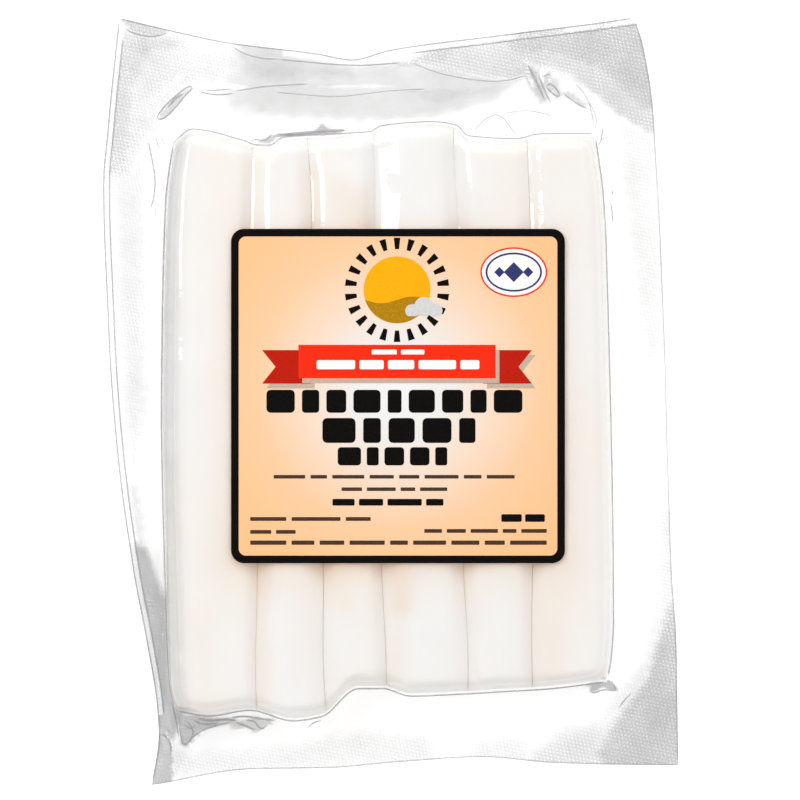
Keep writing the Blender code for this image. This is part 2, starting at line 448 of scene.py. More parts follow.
    def seal_middle(self, places: Places) -> Array:
        """Find the height of the sealed border's middle plane.

        Args:
            places: Places on the pouch.

        Returns:
            The height at each of them.
        """
        x, y = places.x, places.y
        side, end = places.outside()
        left, right = self.left_edge.points[0][1], self.right_edge.points[0][1]
        low_y, high_y = self.bottom_edge.points[0][1], self.top_edge.points[0][1]
        share_x = np.clip((x - left) / (right - left), 0, 1)
        share_y = np.clip((y - low_y) / (high_y - low_y), 0, 1)
        rise = between(between(*self.low_rises, share_x), between(*self.high_rises, share_x), share_y)
        length_x, length_y = self.wave_lengths
        waves = np.sin(math.tau * x / length_x) + np.sin(math.tau * y / length_y)
        reach = np.minimum(np.hypot(side, end), 1)
        lift = rise * side * end - self.edge_rise * (reach - side * end)
        lift += self.wave_height * waves * reach
        folds = sum(crease.at(x, y) for crease in self.creases)
        return self.seal_height + lift + folds * np.minimum(1, self.crease_start * reach)

    def rounding(self, places: Places) -> Array:
        """Find how far the block's rounded sides and ends let the film rise.

        Args:
            places: Places on the pouch.

        Returns:
            0 at the block's rim and 1 where it is full.
        """
        lines, across = self.lines, places.across
        low, high = self.ends(across)
        side = np.minimum(across * (lines[1] - lines[0]), (STICKS - across) * (lines[-1] - lines[-2]))
        end = np.minimum(places.along, 1 - places.along) * (high - low)
        return quarter_round(side, self.side_round) * quarter_round(end, self.end_round)

    def groove_distance(self, across: Array) -> Array:
        """Find the distance from the nearest line between two sticks.

        Args:
            across: Across values.

        Returns:
            The distance at each of them, and a very large one beside the block's own sides.
        """
        width = np.diff(self.lines)[stick_of(across)]
        line, is_side = nearest_line(across)
        return np.where(is_side, np.inf, np.abs(across - line) * width)

    def groove_drop(self, across: Array) -> Array:
        """Find how far the front film sinks into the grooves.

        Args:
            across: Across values.

        Returns:
            The depth at each of them.
        """
        lines = self.lines
        place = np.interp(across, np.arange(STICKS + 1), lines)
        return sum(groove.drop(place - line) for groove, line in zip(self.grooves, lines[1:-1]))

    def front(self, places: Places) -> Array:
        """Find the height of the front film.

        Args:
            places: Places on the pouch.

        Returns:
            The height at each of them.
        """
        x, y = places.x, places.y
        side, end = places.outside()
        seal = self.seal_middle(places) + self.seal_gap / 2
        away = np.hypot(side * self.side_border, end * self.end_border)
        tent = self.tent_height * np.exp(-away / self.tent_reach)
        sunk = self.groove_drop(places.across) + sum(dent.at(x, y) for dent in self.dents)
        length_x, length_y = self.swell_lengths
        waves = np.sin(math.tau * x / length_x + 1) * np.sin(math.tau * y / length_y)
        sunk = sunk + self.swell * (1 + waves * np.sin(self.swell_drift * (x + y)))
        crest = self.block_height - self.crown * (2 * (places.across % 1) - 1) ** 2 - sunk
        risen = (crest - seal - tent) * self.rounding(places)
        return seal + tent + np.where(places.on_border(), 0, risen)

    def back(self, places: Places) -> Array:
        """Find the height of the back film.

        Args:
            places: Places on the pouch.

        Returns:
            The height at each of them.
        """
        seal = self.seal_middle(places) - self.seal_gap / 2
        off_flat = np.abs(2 * (places.across % 1) - 1) - self.under_flat_share
        off_flat = np.clip(off_flat / (1 - self.under_flat_share), 0, 1)
        _, is_side = nearest_line(places.across)
        groove = np.where(is_side, 0, self.under_groove_depth * off_flat**2)
        return seal + np.where(places.on_border(), 0, (groove - seal) * self.rounding(places))


class NodeBook:
    """Makes the shader nodes of one material or world and wires them up."""

    def __init__(self, owner: bpy.types.Material | bpy.types.World) -> None:
        """Start from an empty node tree.

        Args:
            owner: The material or world that the nodes belong to.
        """
        owner.use_nodes = True
        self.tree = owner.node_tree
        self.tree.nodes.clear()

    def add(
        self, kind: str, inputs: dict[str | int, object] | None = None, **settings: object
    ) -> bpy.types.Node:
        """Add a node.

        Args:
            kind: The node's type, without its ShaderNode prefix.
            inputs: Values to set or sockets to wire, by the input's name or number.
            settings: Attributes to set on the node.

        Returns:
            The new node.
        """
        node = self.tree.nodes.new("ShaderNode" + kind)
        for name, value in settings.items():
            setattr(node, name, value)
        for name, value in (inputs or {}).items():
            if isinstance(value, bpy.types.NodeSocket):
                self.tree.links.new(value, node.inputs[name])
            else:
                node.inputs[name].default_value = value
        return node

    def math(self, operation: str, first: object, second: object = 0.0) -> bpy.types.NodeSocket:
        """Return the result of a Math node on two values or sockets."""
        return self.add("Math", {0: first, 1: second}, operation=operation).outputs[0]

    def product(self, *factors: object) -> bpy.types.NodeSocket:
        """Return the product of values or sockets."""
        return reduce(lambda first, second: self.math("MULTIPLY", first, second), factors)

    def mix(self, share: object, first: object, second: object) -> bpy.types.NodeSocket:
        """Return a colour that lies the given share of the way from first to second."""
        inputs = {"Factor": share, 6: first, 7: second}
        return self.add("Mix", inputs, data_type="RGBA").outputs[2]

    def blend(self, share: object, first: bpy.types.Node, second: bpy.types.Node) -> bpy.types.Node:
        """Return a shader that lies the given share of the way from first to second."""
        return self.add("MixShader", {0: share, 1: first.outputs[0], 2: second.outputs[0]})

    def painted(self, name: str) -> bpy.types.NodeSocket:
        """Return the number that is painted on the piece under a name."""
        return self.add("Attribute", attribute_name=name).outputs["Fac"]

    def place(self) -> bpy.types.NodeSocket:
        """Return the place on the piece, in object space."""
        return self.add("TexCoord").outputs["Object"]

    def noise(self, scale: float, stretch: Triple = (1, 1, 1), detail: float = 3.0) -> bpy.types.NodeSocket:
        """Make a noise in object space.

        Args:
            scale: Lumps per metre.
            stretch: Factors on that scale along X, Y and Z.
            detail: Octaves of the noise.

        Returns:
            The noise's value, from 0 to 1.
        """
        vector = self.add("Mapping", {"Vector": self.place(), "Scale": stretch}).outputs["Vector"]
        return self.add("TexNoise", {"Vector": vector, "Scale": scale, "Detail": detail}).outputs["Fac"]

    def span(self, value: object, span: Point, result: Point) -> bpy.types.NodeSocket:
        """Move a value from one range to another.

        Args:
            value: A value or socket.
            span: The range that it comes from.
            result: The range that it goes to, and is kept in.

        Returns:
            The value in its new range.
        """
        ends = {"From Min": span[0], "From Max": span[1], "To Min": result[0], "To Max": result[1]}
        return self.add("MapRange", {"Value": value} | ends).outputs["Result"]

    def bump(self, height: object, distance: float) -> bpy.types.NodeSocket:
        """Return the normal of a bump whose relief is distance metres deep."""
        inputs = {"Strength": 1.0, "Distance": distance, "Height": height}
        return self.add("Bump", inputs).outputs["Normal"]


class Finish:
    """What the finishes share: nodes that end in one shader, and a name."""

    name: str

    def surface(self, book: NodeBook) -> bpy.types.Node:
        """Make the nodes in the book and return the shader that they end in."""
        raise NotImplementedError

    def build(self) -> bpy.types.Material:
        """Make the material.

        Returns:
            The finish as a material.
        """
        material = bpy.data.materials.new(self.name)
        book = NodeBook(material)
        book.add("OutputMaterial", {"Surface": self.surface(book).outputs[0]})
        return material


def solid(colour: Colour) -> tuple[float, float, float, float]:
    """Return a colour with full opacity."""
    return (*colour, 1.0)


@dataclass(frozen=True)
class CheeseFinish(Finish):
    """Smooth, moist, pale cream cheese with faint fibres along the stick."""

    name: str = "string cheese"
    cream: Colour = (0.886, 0.842, 0.786)
    pale: Colour = (0.878, 0.870, 0.860)
    # Colour of the painted warm shade in the grooves and of the label's painted glow on the cheese.
    painted_shade_and_glow: Colour = (0.82, 0.63, 0.47)
    roughness: float = 0.5
    fibre_scale: float = 260.0
    fibre_stretch: Triple = (4.0, 0.12, 4.0)
    fibre_share: float = 0.25
    fibre_depth: float = 0.00003
    mottle_scale: float = 60.0
    mottle_stretch: Triple = (1.0, 0.45, 1.0)
    mottle_span: Point = (0.35, 0.65)
    scatter: float = 0.2
    scatter_radius: Triple = (1.0, 0.75, 0.5)
    scatter_reach: float = 0.002

    def surface(self, book: NodeBook) -> bpy.types.Node:
        """Mottle the cheese, mix in the painted warm shade and the label's painted glow where they are
        painted, and lay fibres along it.

        Args:
            book: Where the nodes go.

        Returns:
            The shader.
        """
        fibres = book.noise(self.fibre_scale, self.fibre_stretch)
        mottle = book.noise(self.mottle_scale, self.mottle_stretch, 2.0)
        mottle = book.span(mottle, self.mottle_span, (0.0, 1.0))
        parts = book.product(fibres, self.fibre_share), book.product(mottle, 1 - self.fibre_share)
        colour = book.mix(book.math("ADD", *parts), solid(self.cream), solid(self.pale))
        return book.add("BsdfPrincipled", {
            # Painted warm shade and painted label glow, read from the sticks' points.
            "Base Color": book.mix(book.painted("painted_shade_and_glow"), colour, solid(self.painted_shade_and_glow)),
            "Roughness": self.roughness,
            "Subsurface Weight": self.scatter,
            "Subsurface Radius": self.scatter_radius,
            "Subsurface Scale": self.scatter_reach,
            "Normal": book.bump(fibres, self.fibre_depth),
        })


@dataclass(frozen=True)
class FilmFinish(Finish):
    """Clear glossy film, hazier and dotted with a fine diagonal knurl where it is sealed, and grey or dark
    where painted shade and painted shade lines are painted on it.
    """

    name: str = "clear film"
    clear: Colour = (0.99, 0.99, 0.99)
    # Grey of the milky haze and of the painted shade on the film.
    haze_and_shade: Colour = (0.46, 0.46, 0.465)
    # Dark grey of the painted shade lines at folds, weld lines and the block's rim.
    line: Colour = (0.20, 0.20, 0.205)
    haze_share: float = 0.50
    dots_share: float = 0.45
    dot_height: float = 0.9
    cloud_scale: float = 140.0
    cloud_span: Point = (0.25, 0.75)
    cloud_shares: Point = (0.8, 1.15)
    gloss: Colour = (1.0, 1.0, 1.0)
    roughness: float = 0.04
    head_on_gloss: float = 0.05
    glance_power: float = 5.0
    knurl_pitch: Point = (0.88 * MM, 1.36 * MM)
    knurl_depth: float = 0.00006
    ripple_scale: float = 190.0
    ripple_depth: float = 0.00005

    def knurl(self, book: NodeBook) -> bpy.types.NodeSocket:
        """Make the knurl, a grid of small dots that runs diagonally over the film.

        Args:
            book: Where the nodes go.

        Returns:
            Its relief, from -1 to 1.
        """
        apart = book.add("SeparateXYZ", {0: book.place()}).outputs
        waves = []
        for operation, pitch in zip(("ADD", "SUBTRACT"), self.knurl_pitch):
            diagonal = book.math(operation, apart[0], apart[1])
            waves.append(book.math("SINE", book.product(diagonal, math.tau / pitch * math.sqrt(0.5))))
        return book.product(*waves)

    def surface(self, book: NodeBook) -> bpy.types.Node:
        """Cloud the clear film where haze and painted shade, dots or a dark painted shade line is painted on
        it, and gloss it.

        Args:
            book: Where the nodes go.

        Returns:
            The shader.
        """
        knurl = self.knurl(book)
        dots, line = book.painted("dots"), book.painted("line")
        relief = book.product(knurl, dots, self.knurl_depth)
        ripple = book.product(book.noise(self.ripple_scale), self.ripple_depth)
        normal = book.bump(book.math("ADD", relief, ripple), 1.0)
        clear = book.add("BsdfTransparent", {"Color": solid(self.clear)})
        # The grey body shows the haze and the painted shade, darker along the painted shade lines.
        milky = book.add("BsdfDiffuse", {"Color": book.mix(line, solid(self.haze_and_shade), solid(self.line))})
        spots = book.product(book.span(knurl, (0.0, self.dot_height), (0.0, self.dots_share)), dots)
        cloud = book.span(book.noise(self.cloud_scale), self.cloud_span, self.cloud_shares)
        unspotted = book.math("SUBTRACT", 1.0, spots)
        cover = book.product(book.painted("haze_and_shade"), self.haze_share, cloud, unspotted)
        body = book.blend(book.math("MAXIMUM", cover, line), clear, milky)
        looks = {"Color": solid(self.gloss), "Roughness": self.roughness, "Normal": normal}
        gloss = book.add("BsdfGlossy", looks)
        facing = book.add("LayerWeight", {"Blend": 0.5, "Normal": normal}).outputs["Facing"]
        glance = book.math("POWER", facing, self.glance_power)
        shine = book.math("ADD", book.product(glance, 1 - self.head_on_gloss), self.head_on_gloss)
        return book.blend(shine, body, gloss)


@dataclass(frozen=True)
class PaperFinish(Finish):
    """Satin label paper whose peach ground pales towards a glow in the middle."""

    name: str = "label paper"
    centre: Point = (1.7, 3.1)
    glow: tuple[tuple[float, Colour], ...] = (
        (0.0, (0.84, 0.83, 0.82)),
        (10.0, (0.80, 0.775, 0.745)),
        (20.0, (0.88, 0.665, 0.515)),
        (30.0, (0.95, 0.565, 0.325)),
        (42.0, (0.98, 0.52, 0.248)),
    )
    roughness: float = 0.5
    gloss: float = 0.25
    grain_scale: float = 2600.0
    grain_depth: float = 0.000006

    def surface(self, book: NodeBook) -> bpy.types.Node:
        """Spread the glow round its centre and give the paper a grain.

        Args:
            book: Where the nodes go.

        Returns:
            The shader.
        """
        reach = self.glow[-1][0]
        near = book.add("Mapping", {
            "Vector": book.place(),
            "Scale": (1 / (reach * MM), 1 / (reach * MM), 0),
            "Location": (-self.centre[0] / reach, -self.centre[1] / reach, 0),
        }).outputs["Vector"]
        away = book.add("VectorMath", {0: near}, operation="LENGTH").outputs["Value"]
        ramp = book.add("ValToRGB", {0: away})
        stops = ramp.color_ramp.elements
        for distance, colour in self.glow[1:-1]:
            stops.new(distance / reach).color = solid(colour)
        stops[0].color, stops[-1].color = solid(self.glow[0][1]), solid(self.glow[-1][1])
        return book.add("BsdfPrincipled", {
            "Base Color": ramp.outputs["Color"],
            "Roughness": self.roughness,
            "Specular IOR Level": self.gloss,
            "Normal": book.bump(book.noise(self.grain_scale, detail=2.0), self.grain_depth),
        })


@dataclass(frozen=True)
class InkFinish(Finish):
    """Satin ink of one colour, slightly uneven as printed."""

    name: str
    colour: Colour
    worn: Colour
    roughness: float = 0.5
    gloss: float = 0.04
    grain_scale: float = 2400.0
    grain_span: Point = (0.45, 0.75)
    grain_depth: float = 0.000004

    def surface(self, book: NodeBook) -> bpy.types.Node:
        """Wear the ink a little, grain by grain.

        Args:
            book: Where the nodes go.

        Returns:
            The shader.
        """
        grain = book.noise(self.grain_scale, detail=2.0)
        wear = book.span(grain, self.grain_span, (0.0, 1.0))
        return book.add("BsdfPrincipled", {
            "Base Color": book.mix(wear, solid(self.colour), solid(self.worn)),
            "Roughness": self.roughness,
            "Specular IOR Level": self.gloss,
            "Normal": book.bump(grain, self.grain_depth),
        })


@dataclass(frozen=True)
class FloorFinish(Finish):
    """Matt white studio floor, lit a little from beneath."""

    name: str = "studio floor"
    white: Colour = (0.97, 0.97, 0.97)
    off_white: Colour = (0.955, 0.955, 0.955)
    grain_scale: float = 40.0
    roughness: float = 0.9
    glow: float = 0.34

    def surface(self, book: NodeBook) -> bpy.types.Node:
        """Cloud the white a little and light it.

        Args:
            book: Where the nodes go.

        Returns:
            The shader.
        """
        return book.add("BsdfPrincipled", {
            "Base Color": book.mix(book.noise(self.grain_scale), solid(self.white), solid(self.off_white)),
            "Roughness": self.roughness,
            "Specular IOR Level": 0.0,
            "Emission Color": solid(self.white),
            "Emission Strength": self.glow,
        })


class Ink(Enum):
    """The label's printed colours."""

    BLACK = InkFinish("black ink", (0.003, 0.0027, 0.0024), (0.006, 0.0055, 0.005))
    BROWN = InkFinish("dark brown ink", (0.055, 0.035, 0.022), (0.08, 0.052, 0.033))
    RED = InkFinish("red ink", (0.93, 0.024, 0.006), (0.94, 0.035, 0.010))
    DEEP_RED = InkFinish("deep red ink", (0.48, 0.012, 0.004), (0.52, 0.018, 0.006))
    SHADOW = InkFinish("grey shadow ink", (0.50, 0.40, 0.31), (0.58, 0.46, 0.36))
    WHITE = InkFinish("white ink", (0.93, 0.91, 0.90), (0.88, 0.86, 0.84))
    AMBER = InkFinish("amber ink", (0.95, 0.42, 0.005), (0.90, 0.36, 0.005))
    OCHRE = InkFinish("ochre ink", (0.40, 0.19, 0.005), (0.52, 0.27, 0.01))
    MIST = InkFinish("pale grey ink", (0.60, 0.60, 0.60), (0.70, 0.70, 0.69))
    NAVY = InkFinish("navy ink", (0.03, 0.04, 0.14), (0.05, 0.06, 0.17))

    @cache
    def material(self) -> bpy.types.Material:
        """Return the ink's material, which is made once."""
        return self.value.build()


def make_piece(
    name: str,
    vertices: Sequence[Triple] | Array,
    faces: Faces,
    finish: bpy.types.Material,
    node: str,
    slot: Slot,
    smooth: bool = True,
) -> bpy.types.Object:
    """Make one piece of the pack.

    Args:
        name: The piece's name.
        vertices: Its points, in millimetres.
        faces: Its faces, as lists of point numbers.
        finish: The material that it wears.
        node: The solid that it stands for.
        slot: The record's material slot of its finish. Not used.
        smooth: Whether its faces are shaded smooth.

    Returns:
        The new object, which rides on the pack.
    """
    mesh = bpy.data.meshes.new(name)
    mesh.from_pydata((np.asarray(vertices, float) * MM).tolist(), [], faces)
    mesh.validate()
    if smooth:
        mesh.shade_smooth()
    mesh.materials.append(finish)
    piece = bpy.data.objects.new(name, mesh)
    bpy.context.scene.collection.objects.link(piece)
    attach(piece, "root")
    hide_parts(node)
    log.info("made %s with %d faces", name, len(mesh.polygons))
    return piece


def paint(piece: bpy.types.Object, name: str, values: Array) -> None:
    """Store one number for each of the piece's points, for its material to read."""
    layer = piece.data.attributes.new(name, "FLOAT", "POINT")
    layer.data.foreach_set("value", np.ascontiguousarray(values, np.float32).ravel())


def grid_faces(rows: int, columns: int) -> tuple[Faces, list[int]]:
    """Number the faces of a grid of points.

    Args:
        rows: Rows of points.
        columns: Points in each row.

    Returns:
        The faces, counter-clockwise from above, and the numbers of the points round its rim.
    """
    corner = (np.arange(rows - 1)[:, None] * columns + np.arange(columns - 1)).ravel()
    faces = np.stack([corner, corner + 1, corner + columns + 1, corner + columns], 1).tolist()
    numbers = np.arange(rows * columns).reshape(rows, columns)
    rim = [numbers[0], numbers[1:, -1], numbers[-1, -2::-1], numbers[-2:0:-1, 0]]
    return faces, np.concatenate(rim).tolist()


def closed_between(tops: Array, bottoms: Array) -> tuple[Array, Faces]:
    """Close the space between two grids of points.

    Args:
        tops: The upper grid, as rows by columns by 3.
        bottoms: The lower grid, in the same order.

    Returns:
        The points, upper grid first, and the faces.
    """
    rows, columns = tops.shape[:2]
    under = rows * columns
    faces, rim = grid_faces(rows, columns)
    faces += [[number + under for number in reversed(face)] for face in list(faces)]
    faces += [[a, a + under, b + under, b] for a, b in zip(rim, rim[1:] + rim[:1])]
    return np.concatenate([tops.reshape(-1, 3), bottoms.reshape(-1, 3)]), faces


@dataclass
class CheeseSticks:
    """The six sticks that the pouch holds."""

    form: PouchForm
    film_clearance: float = 0.12
    inner_round: float = 0.08
    inner_share: float = 0.7
    side_gap: float = 0.002
    end_gap: float = 0.5
    columns: int = 34
    rows: int = 120
    # How the painted warm shade and the label's painted glow spread over the cheese.
    painted_glow_reach: float = 4.6
    label_half: float = 35.0
    label_centre: Point = LABEL_CENTRE
    far_painted_glow: float = 0.3
    groove_painted_shades: tuple[Point, ...] = ((0.7, 1.8), (0.5, 0.35))
    near_painted_glow: Point = (0.46, 0.4)
    deep_painted_shade: Point = (0.10, 0.10)
    least_thickness: float = 0.02
    # Spots of painted warm shade where the sticks lie in shade.
    painted_shade_spots: tuple[Stroke, ...] = (
        Stroke((-27.0, -33.5), (-26.8, -38.0), 2.4, 0.20),
        Stroke((-14.5, -33.5), (-6.0, -33.5), 3.4, 0.32),
        Stroke((-11.5, -36.0), (-10.5, -42.0), 2.6, 0.16),
        Stroke((2.0, -34.0), (2.4, -42.0), 2.6, 0.34),
        Stroke((-26.9, -40.0), (-26.9, -62.0), 1.9, 0.20),
        Stroke((1.9, -43.0), (1.7, -57.0), 1.8, 0.14),
        Stroke((33.5, -40.0), (33.0, -56.0), 3.4, 0.16),
        Stroke((-40.0, -46.0), (-38.0, -63.0), 3.5, 0.09),
        Stroke((-18.5, -40.0), (-19.0, -58.0), 2.8, 0.08),
        Stroke((-17.2, 48.0), (-16.4, 36.0), 2.1, 0.30),
        Stroke((-10.6, 45.0), (-8.5, 36.0), 3.2, 0.22),
        Stroke((-5.9, 43.0), (-5.6, 36.0), 1.8, 0.24),
    )
    finish: CheeseFinish = field(default_factory=CheeseFinish)

    def build(self) -> None:
        """Make the six sticks."""
        material = self.finish.build()
        for number in range(STICKS):
            self.make_stick(number, material)

    def make_stick(self, number: int, material: bpy.types.Material) -> None:
        """Make one stick, counted from the left, that follows the film from inside.

        Args:
            number: Which stick, from 0 to 5.
            material: The cheese.
        """
        form = self.form
        width = np.diff(form.lines)[number]
        margin = self.side_gap / width
        shares = between(margin, 1 - margin, even_ends(self.columns))
        low, high = form.ends(np.array([number + 0.5]))
        end_margin = self.end_gap / (high - low)[0]
        alongs = between(end_margin, 1 - end_margin, even_ends(self.rows))
        share, along = np.meshgrid(shares, alongs)
        places = form.place(number + share, along)
        middle = form.block_height / 2
        swell = 1.0
        insides = (share - shares[0], number == 0), (shares[-1] - share, number == STICKS - 1)
        for inside, is_outer in insides:
            least, radius = (0.0, form.side_round) if is_outer else (self.inner_share, self.inner_round)
            swell = swell * between(least, 1.0, quarter_round(inside * width, radius))
        from_end = np.minimum(along - alongs[0], alongs[-1] - along) * (high - low)
        swell = swell * quarter_round(from_end, form.end_round)
        tops = np.minimum(middle * (1 + swell), form.front(places) - self.film_clearance)
        bottoms = np.maximum(middle * (1 - swell), form.back(places) + self.film_clearance)
        tops = np.maximum(tops, bottoms + self.least_thickness)
        vertices, faces = closed_between(places.points(tops), places.points(bottoms))
        piece = make_piece(f"cheese_stick_{number + 1}", vertices, faces, material, "bag", Slot.CHEESE)
        # Paint the warm shade and the label's glow on the stick's points, for its material.
        paint(piece, "painted_shade_and_glow", np.tile(self.painted_shade_and_glow(places).ravel(), 2))

    def painted_shade_and_glow(self, places: Places) -> Array:
        """Find the painted shade and glow on the cheese: warm painted shade in the grooves and in spots, and
        a painted glow of the label's colour beside the label, most below it.

        Args:
            places: Places on the pouch.

        Returns:
            The share of painted shade and glow at each of them, from 0 to 1.
        """
        x, y = places.x, places.y
        beyond_x = np.abs(x - self.label_centre[0]) - self.label_half
        beyond_y = np.abs(y - self.label_centre[1]) - self.label_half
        away = np.hypot(np.maximum(beyond_x, 0), np.maximum(beyond_y, 0))
        distance = self.form.groove_distance(places.across)
        # Painted shade in the grooves and a painted label-coloured glow near the label, with the painted
        # shade spots added.
        groove = sum(share * np.exp(-distance / reach) for share, reach in self.groove_painted_shades)
        below = smooth_step(self.label_centre[1] - y, -self.label_half, self.label_half)
        near = np.exp(-away / self.painted_glow_reach) * (self.far_painted_glow + (1 - self.far_painted_glow) * below)
        near = near * (self.near_painted_glow[0] + self.near_painted_glow[1] * groove)
        deep = (self.deep_painted_shade[0] + self.deep_painted_shade[1] * below) * groove
        return np.clip(near + deep + sum(spot.at(x, y) for spot in self.painted_shade_spots), 0, 1)


@dataclass
class PouchFilm:
    """The pouch's clear film: a front and a back sheet that close on each other at its edge."""

    form: PouchForm
    front_lift: float = 0.2
    border_columns: int = 36
    stick_columns: int = 20
    border_rows: int = 48
    block_rows: int = 150
    finish: FilmFinish = field(default_factory=FilmFinish)
    # Hazy patches: the knurled seal's own haze, and painted shade and painted dark reflection where the
    # border tilts.
    patches: tuple[Patch, ...] = (
        Patch((
            (-59.0, 78.6), (-46.9, 79.3), (-41.7, 76.3), (-33.8, 73.6), (-32.6, 68.4), (-36.9, 66.5),
            (-44.6, 66.4), (-49.2, 60.3), (-51.8, 55.1), (-54.7, 46.9), (-61.6, 44.2), (-61.6, 64.9),
        ), 0.46, 1.0, 3.2),
        Patch((
            (-59.0, 78.6), (-44.0, 77.0), (-43.0, 74.2), (-50.0, 73.5), (-53.5, 66.0), (-55.5, 48.0),
            (-61.6, 46.2),
        ), 0.80, 1.0, 2.4),
        Patch((
            (-57.5, 81.5), (-54.6, 77.6), (-50.2, 76.9), (-47.0, 77.8), (-48.0, 81.5),
        ), 0.84, 0.0, 0.3, on_lip=True),
        Patch((
            (-49.1, 59.9), (-47.5, 62.7), (-43.6, 65.9), (-42.2, 66.4), (-42.7, 64.9), (-45.3, 61.8),
            (-47.5, 59.5),
        ), 0.62, 0.0, 0.5),
        Patch((
            (-34.0, 77.0), (-30.6, 73.3), (-26.7, 72.5), (-22.6, 72.6), (-23.6, 76.0),
        ), 0.80, 0.0, 0.3, on_lip=True),
        Patch(((25.0, 80.0), (26.0, 76.4), (36.5, 77.6), (40.5, 81.5)), 0.85, 0.2, 0.6, 0.5, on_lip=True),
        Patch(((43.0, 82.0), (43.6, 79.0), (48.0, 79.4), (48.6, 82.5)), 0.62, 0.0, 0.6, 0.5, on_lip=True),
        Patch((
            (-29.3, 73.1), (-26.7, 72.5), (-7.8, 71.2), (1.9, 72.1), (5.0, 71.6), (22.6, 68.5), (27.8, 68.2),
            (22.0, 63.6), (16.7, 62.0), (9.6, 60.2), (0.0, 59.2), (-13.7, 59.8), (-24.1, 60.2), (-28.6, 60.6),
        ), 0.52, 0.0, 1.3),
        Patch(((-36.5, 75.0), (-26.0, 74.0), (-24.0, 60.4), (-34.5, 60.6)), 0.52, 0.0, 3.4),
        Patch((
            (-33.5, 75.5), (-17.6, 73.2), (-8.0, 71.0), (-4.0, 67.6), (-26.0, 66.6), (-31.8, 67.6),
        ), 0.80, 0.0, 3.0),
        Patch(((0.0, 66.4), (22.6, 67.0), (26.5, 67.6), (22.0, 64.6), (9.0, 62.0)), 0.70, 0.0, 1.4),
        Patch(((27.5, 71.8), (30.5, 70.2), (33.4, 63.4), (31.6, 62.6), (28.6, 67.5)), 0.80, 0.0, 0.6),
        Patch(((31.6, 69.4), (34.4, 69.4), (36.2, 65.0), (35.0, 63.8), (32.2, 66.4)), 0.62, 0.0, 0.6),
        Patch(((36.5, 66.2), (41.6, 62.6), (40.4, 61.8), (36.3, 64.4)), 0.60, 0.0, 0.4),
        Patch((
            (4.4, 71.4), (9.6, 77.3), (24.6, 79.3), (52.5, 83.0), (58.0, 69.0), (58.8, 56.4), (53.9, 56.7),
            (48.0, 60.4), (42.1, 65.4), (38.9, 68.0), (35.0, 69.9), (29.1, 71.4), (28.5, 68.8), (23.3, 67.8),
            (12.8, 69.2),
        ), 0.72, 0.95, 1.0),
        Patch((
            (18.0, 77.6), (33.0, 79.0), (53.5, 82.0), (57.9, 71.4), (57.6, 59.9), (52.0, 61.0), (44.0, 69.0),
            (33.0, 73.0), (26.0, 72.6),
        ), 1.05, 0.9, 2.6),
        Patch(((-0.5, 70.5), (9.6, 74.5), (16.0, 76.0), (12.0, 71.5), (5.0, 70.5)), 0.9, 0.5, 1.0),
        Patch((
            (48.0, 58.4), (55.8, 58.4), (57.1, 38.9), (57.4, 10.0), (53.9, 5.0), (49.9, 38.9),
        ), 0.34, 0.6, 2.2),
        Patch((
            (58.2, -42.5), (63.0, -40.0), (63.5, -80.0), (46.0, -80.0), (43.0, -74.0), (46.5, -68.6),
            (50.0, -63.2), (54.0, -58.2), (56.0, -50.5),
        ), 1.0, 0.75, 1.8),
        Patch((
            (57.0, -36.0), (62.0, -33.0), (63.5, -80.0), (34.0, -80.0), (36.0, -73.5), (44.0, -68.0),
            (49.0, -62.0), (54.0, -55.0),
        ), 0.45, 1.0, 3.0),
        Patch(((46.0, -67.5), (44.0, -78.0), (26.0, -78.5), (30.0, -73.5), (37.0, -69.0)), 0.54, 1.0, 3.2),
        Patch(((55.5, -22.0), (62.0, -20.0), (62.5, -44.0), (56.5, -44.0)), 0.40, 1.0, 3.0),
        Patch((
            (-55.5, -29.5), (-51.6, -30.5), (-49.4, -37.0), (-46.6, -43.5), (-44.0, -50.0), (-43.6, -66.1),
            (-46.0, -71.0), (-51.5, -71.0), (-52.5, -57.0),
        ), 1.29, 0.25, 0.9, 0.0),
        Patch(((-55.6, -17.0), (-53.2, -17.0), (-51.4, -32.0), (-53.6, -33.0)), 0.45, 0.4, 1.6),
        Patch((
            (-51.8, -66.0), (-46.3, -68.0), (-46.0, -75.3), (-46.1, -81.5), (-53.0, -82.6),
        ), 1.14, 0.4, 0.6),
        Patch((
            (-36.6, -66.0), (-33.0, -66.8), (-28.0, -66.6), (-24.4, -66.4), (-25.6, -68.2), (-28.6, -69.2),
            (-32.6, -68.4), (-35.8, -68.2),
        ), 0.8, 0.0, 0.5, 0.4),
        Patch(((-46.5, -73.0), (-42.0, -74.6), (-44.5, -77.8), (-46.6, -79.6)), 0.35, 1.0, 1.5),
        Patch((
            (-44.3, -66.0), (-41.0, -66.0), (-36.6, -66.6), (-35.4, -68.0), (-40.4, -69.4), (-43.0, -72.7),
            (-44.3, -72.0),
        ), 1.1, 0.5, 0.35, 0.0),
        Patch(((-17.6, 56.0), (-14.4, 58.3), (-10.1, 56.6)), 1.5, 0.0, 0.4),
        Patch(((-28.6, 54.2), (-25.6, 56.1), (-23.8, 56.3), (-25.4, 54.4)), 1.2, 0.0, 0.4),
        Patch((
            (41.5, -59.6), (42.5, -61.3), (44.7, -60.2), (47.7, -60.7), (46.7, -59.0), (44.7, -58.3),
        ), 1.0, 0.0, 0.3),
        Patch(((14.5, -76.6), (18.0, -71.2), (28.5, -70.6), (30.0, -77.5)), 0.36, 1.0, 2.8),
        Patch((
            (-45.0, -74.6), (-20.0, -71.7), (-6.0, -69.6), (8.0, -70.0), (10.0, -76.5), (-37.0, -78.9),
            (-44.0, -79.4),
        ), 0.33, 1.0, 2.8),
        Patch(((-59.0, 50.0), (-52.0, 50.0), (-51.5, 0.0), (-54.0, -16.0), (-57.0, -2.0)), 0.36, 0.5, 2.5),
    )
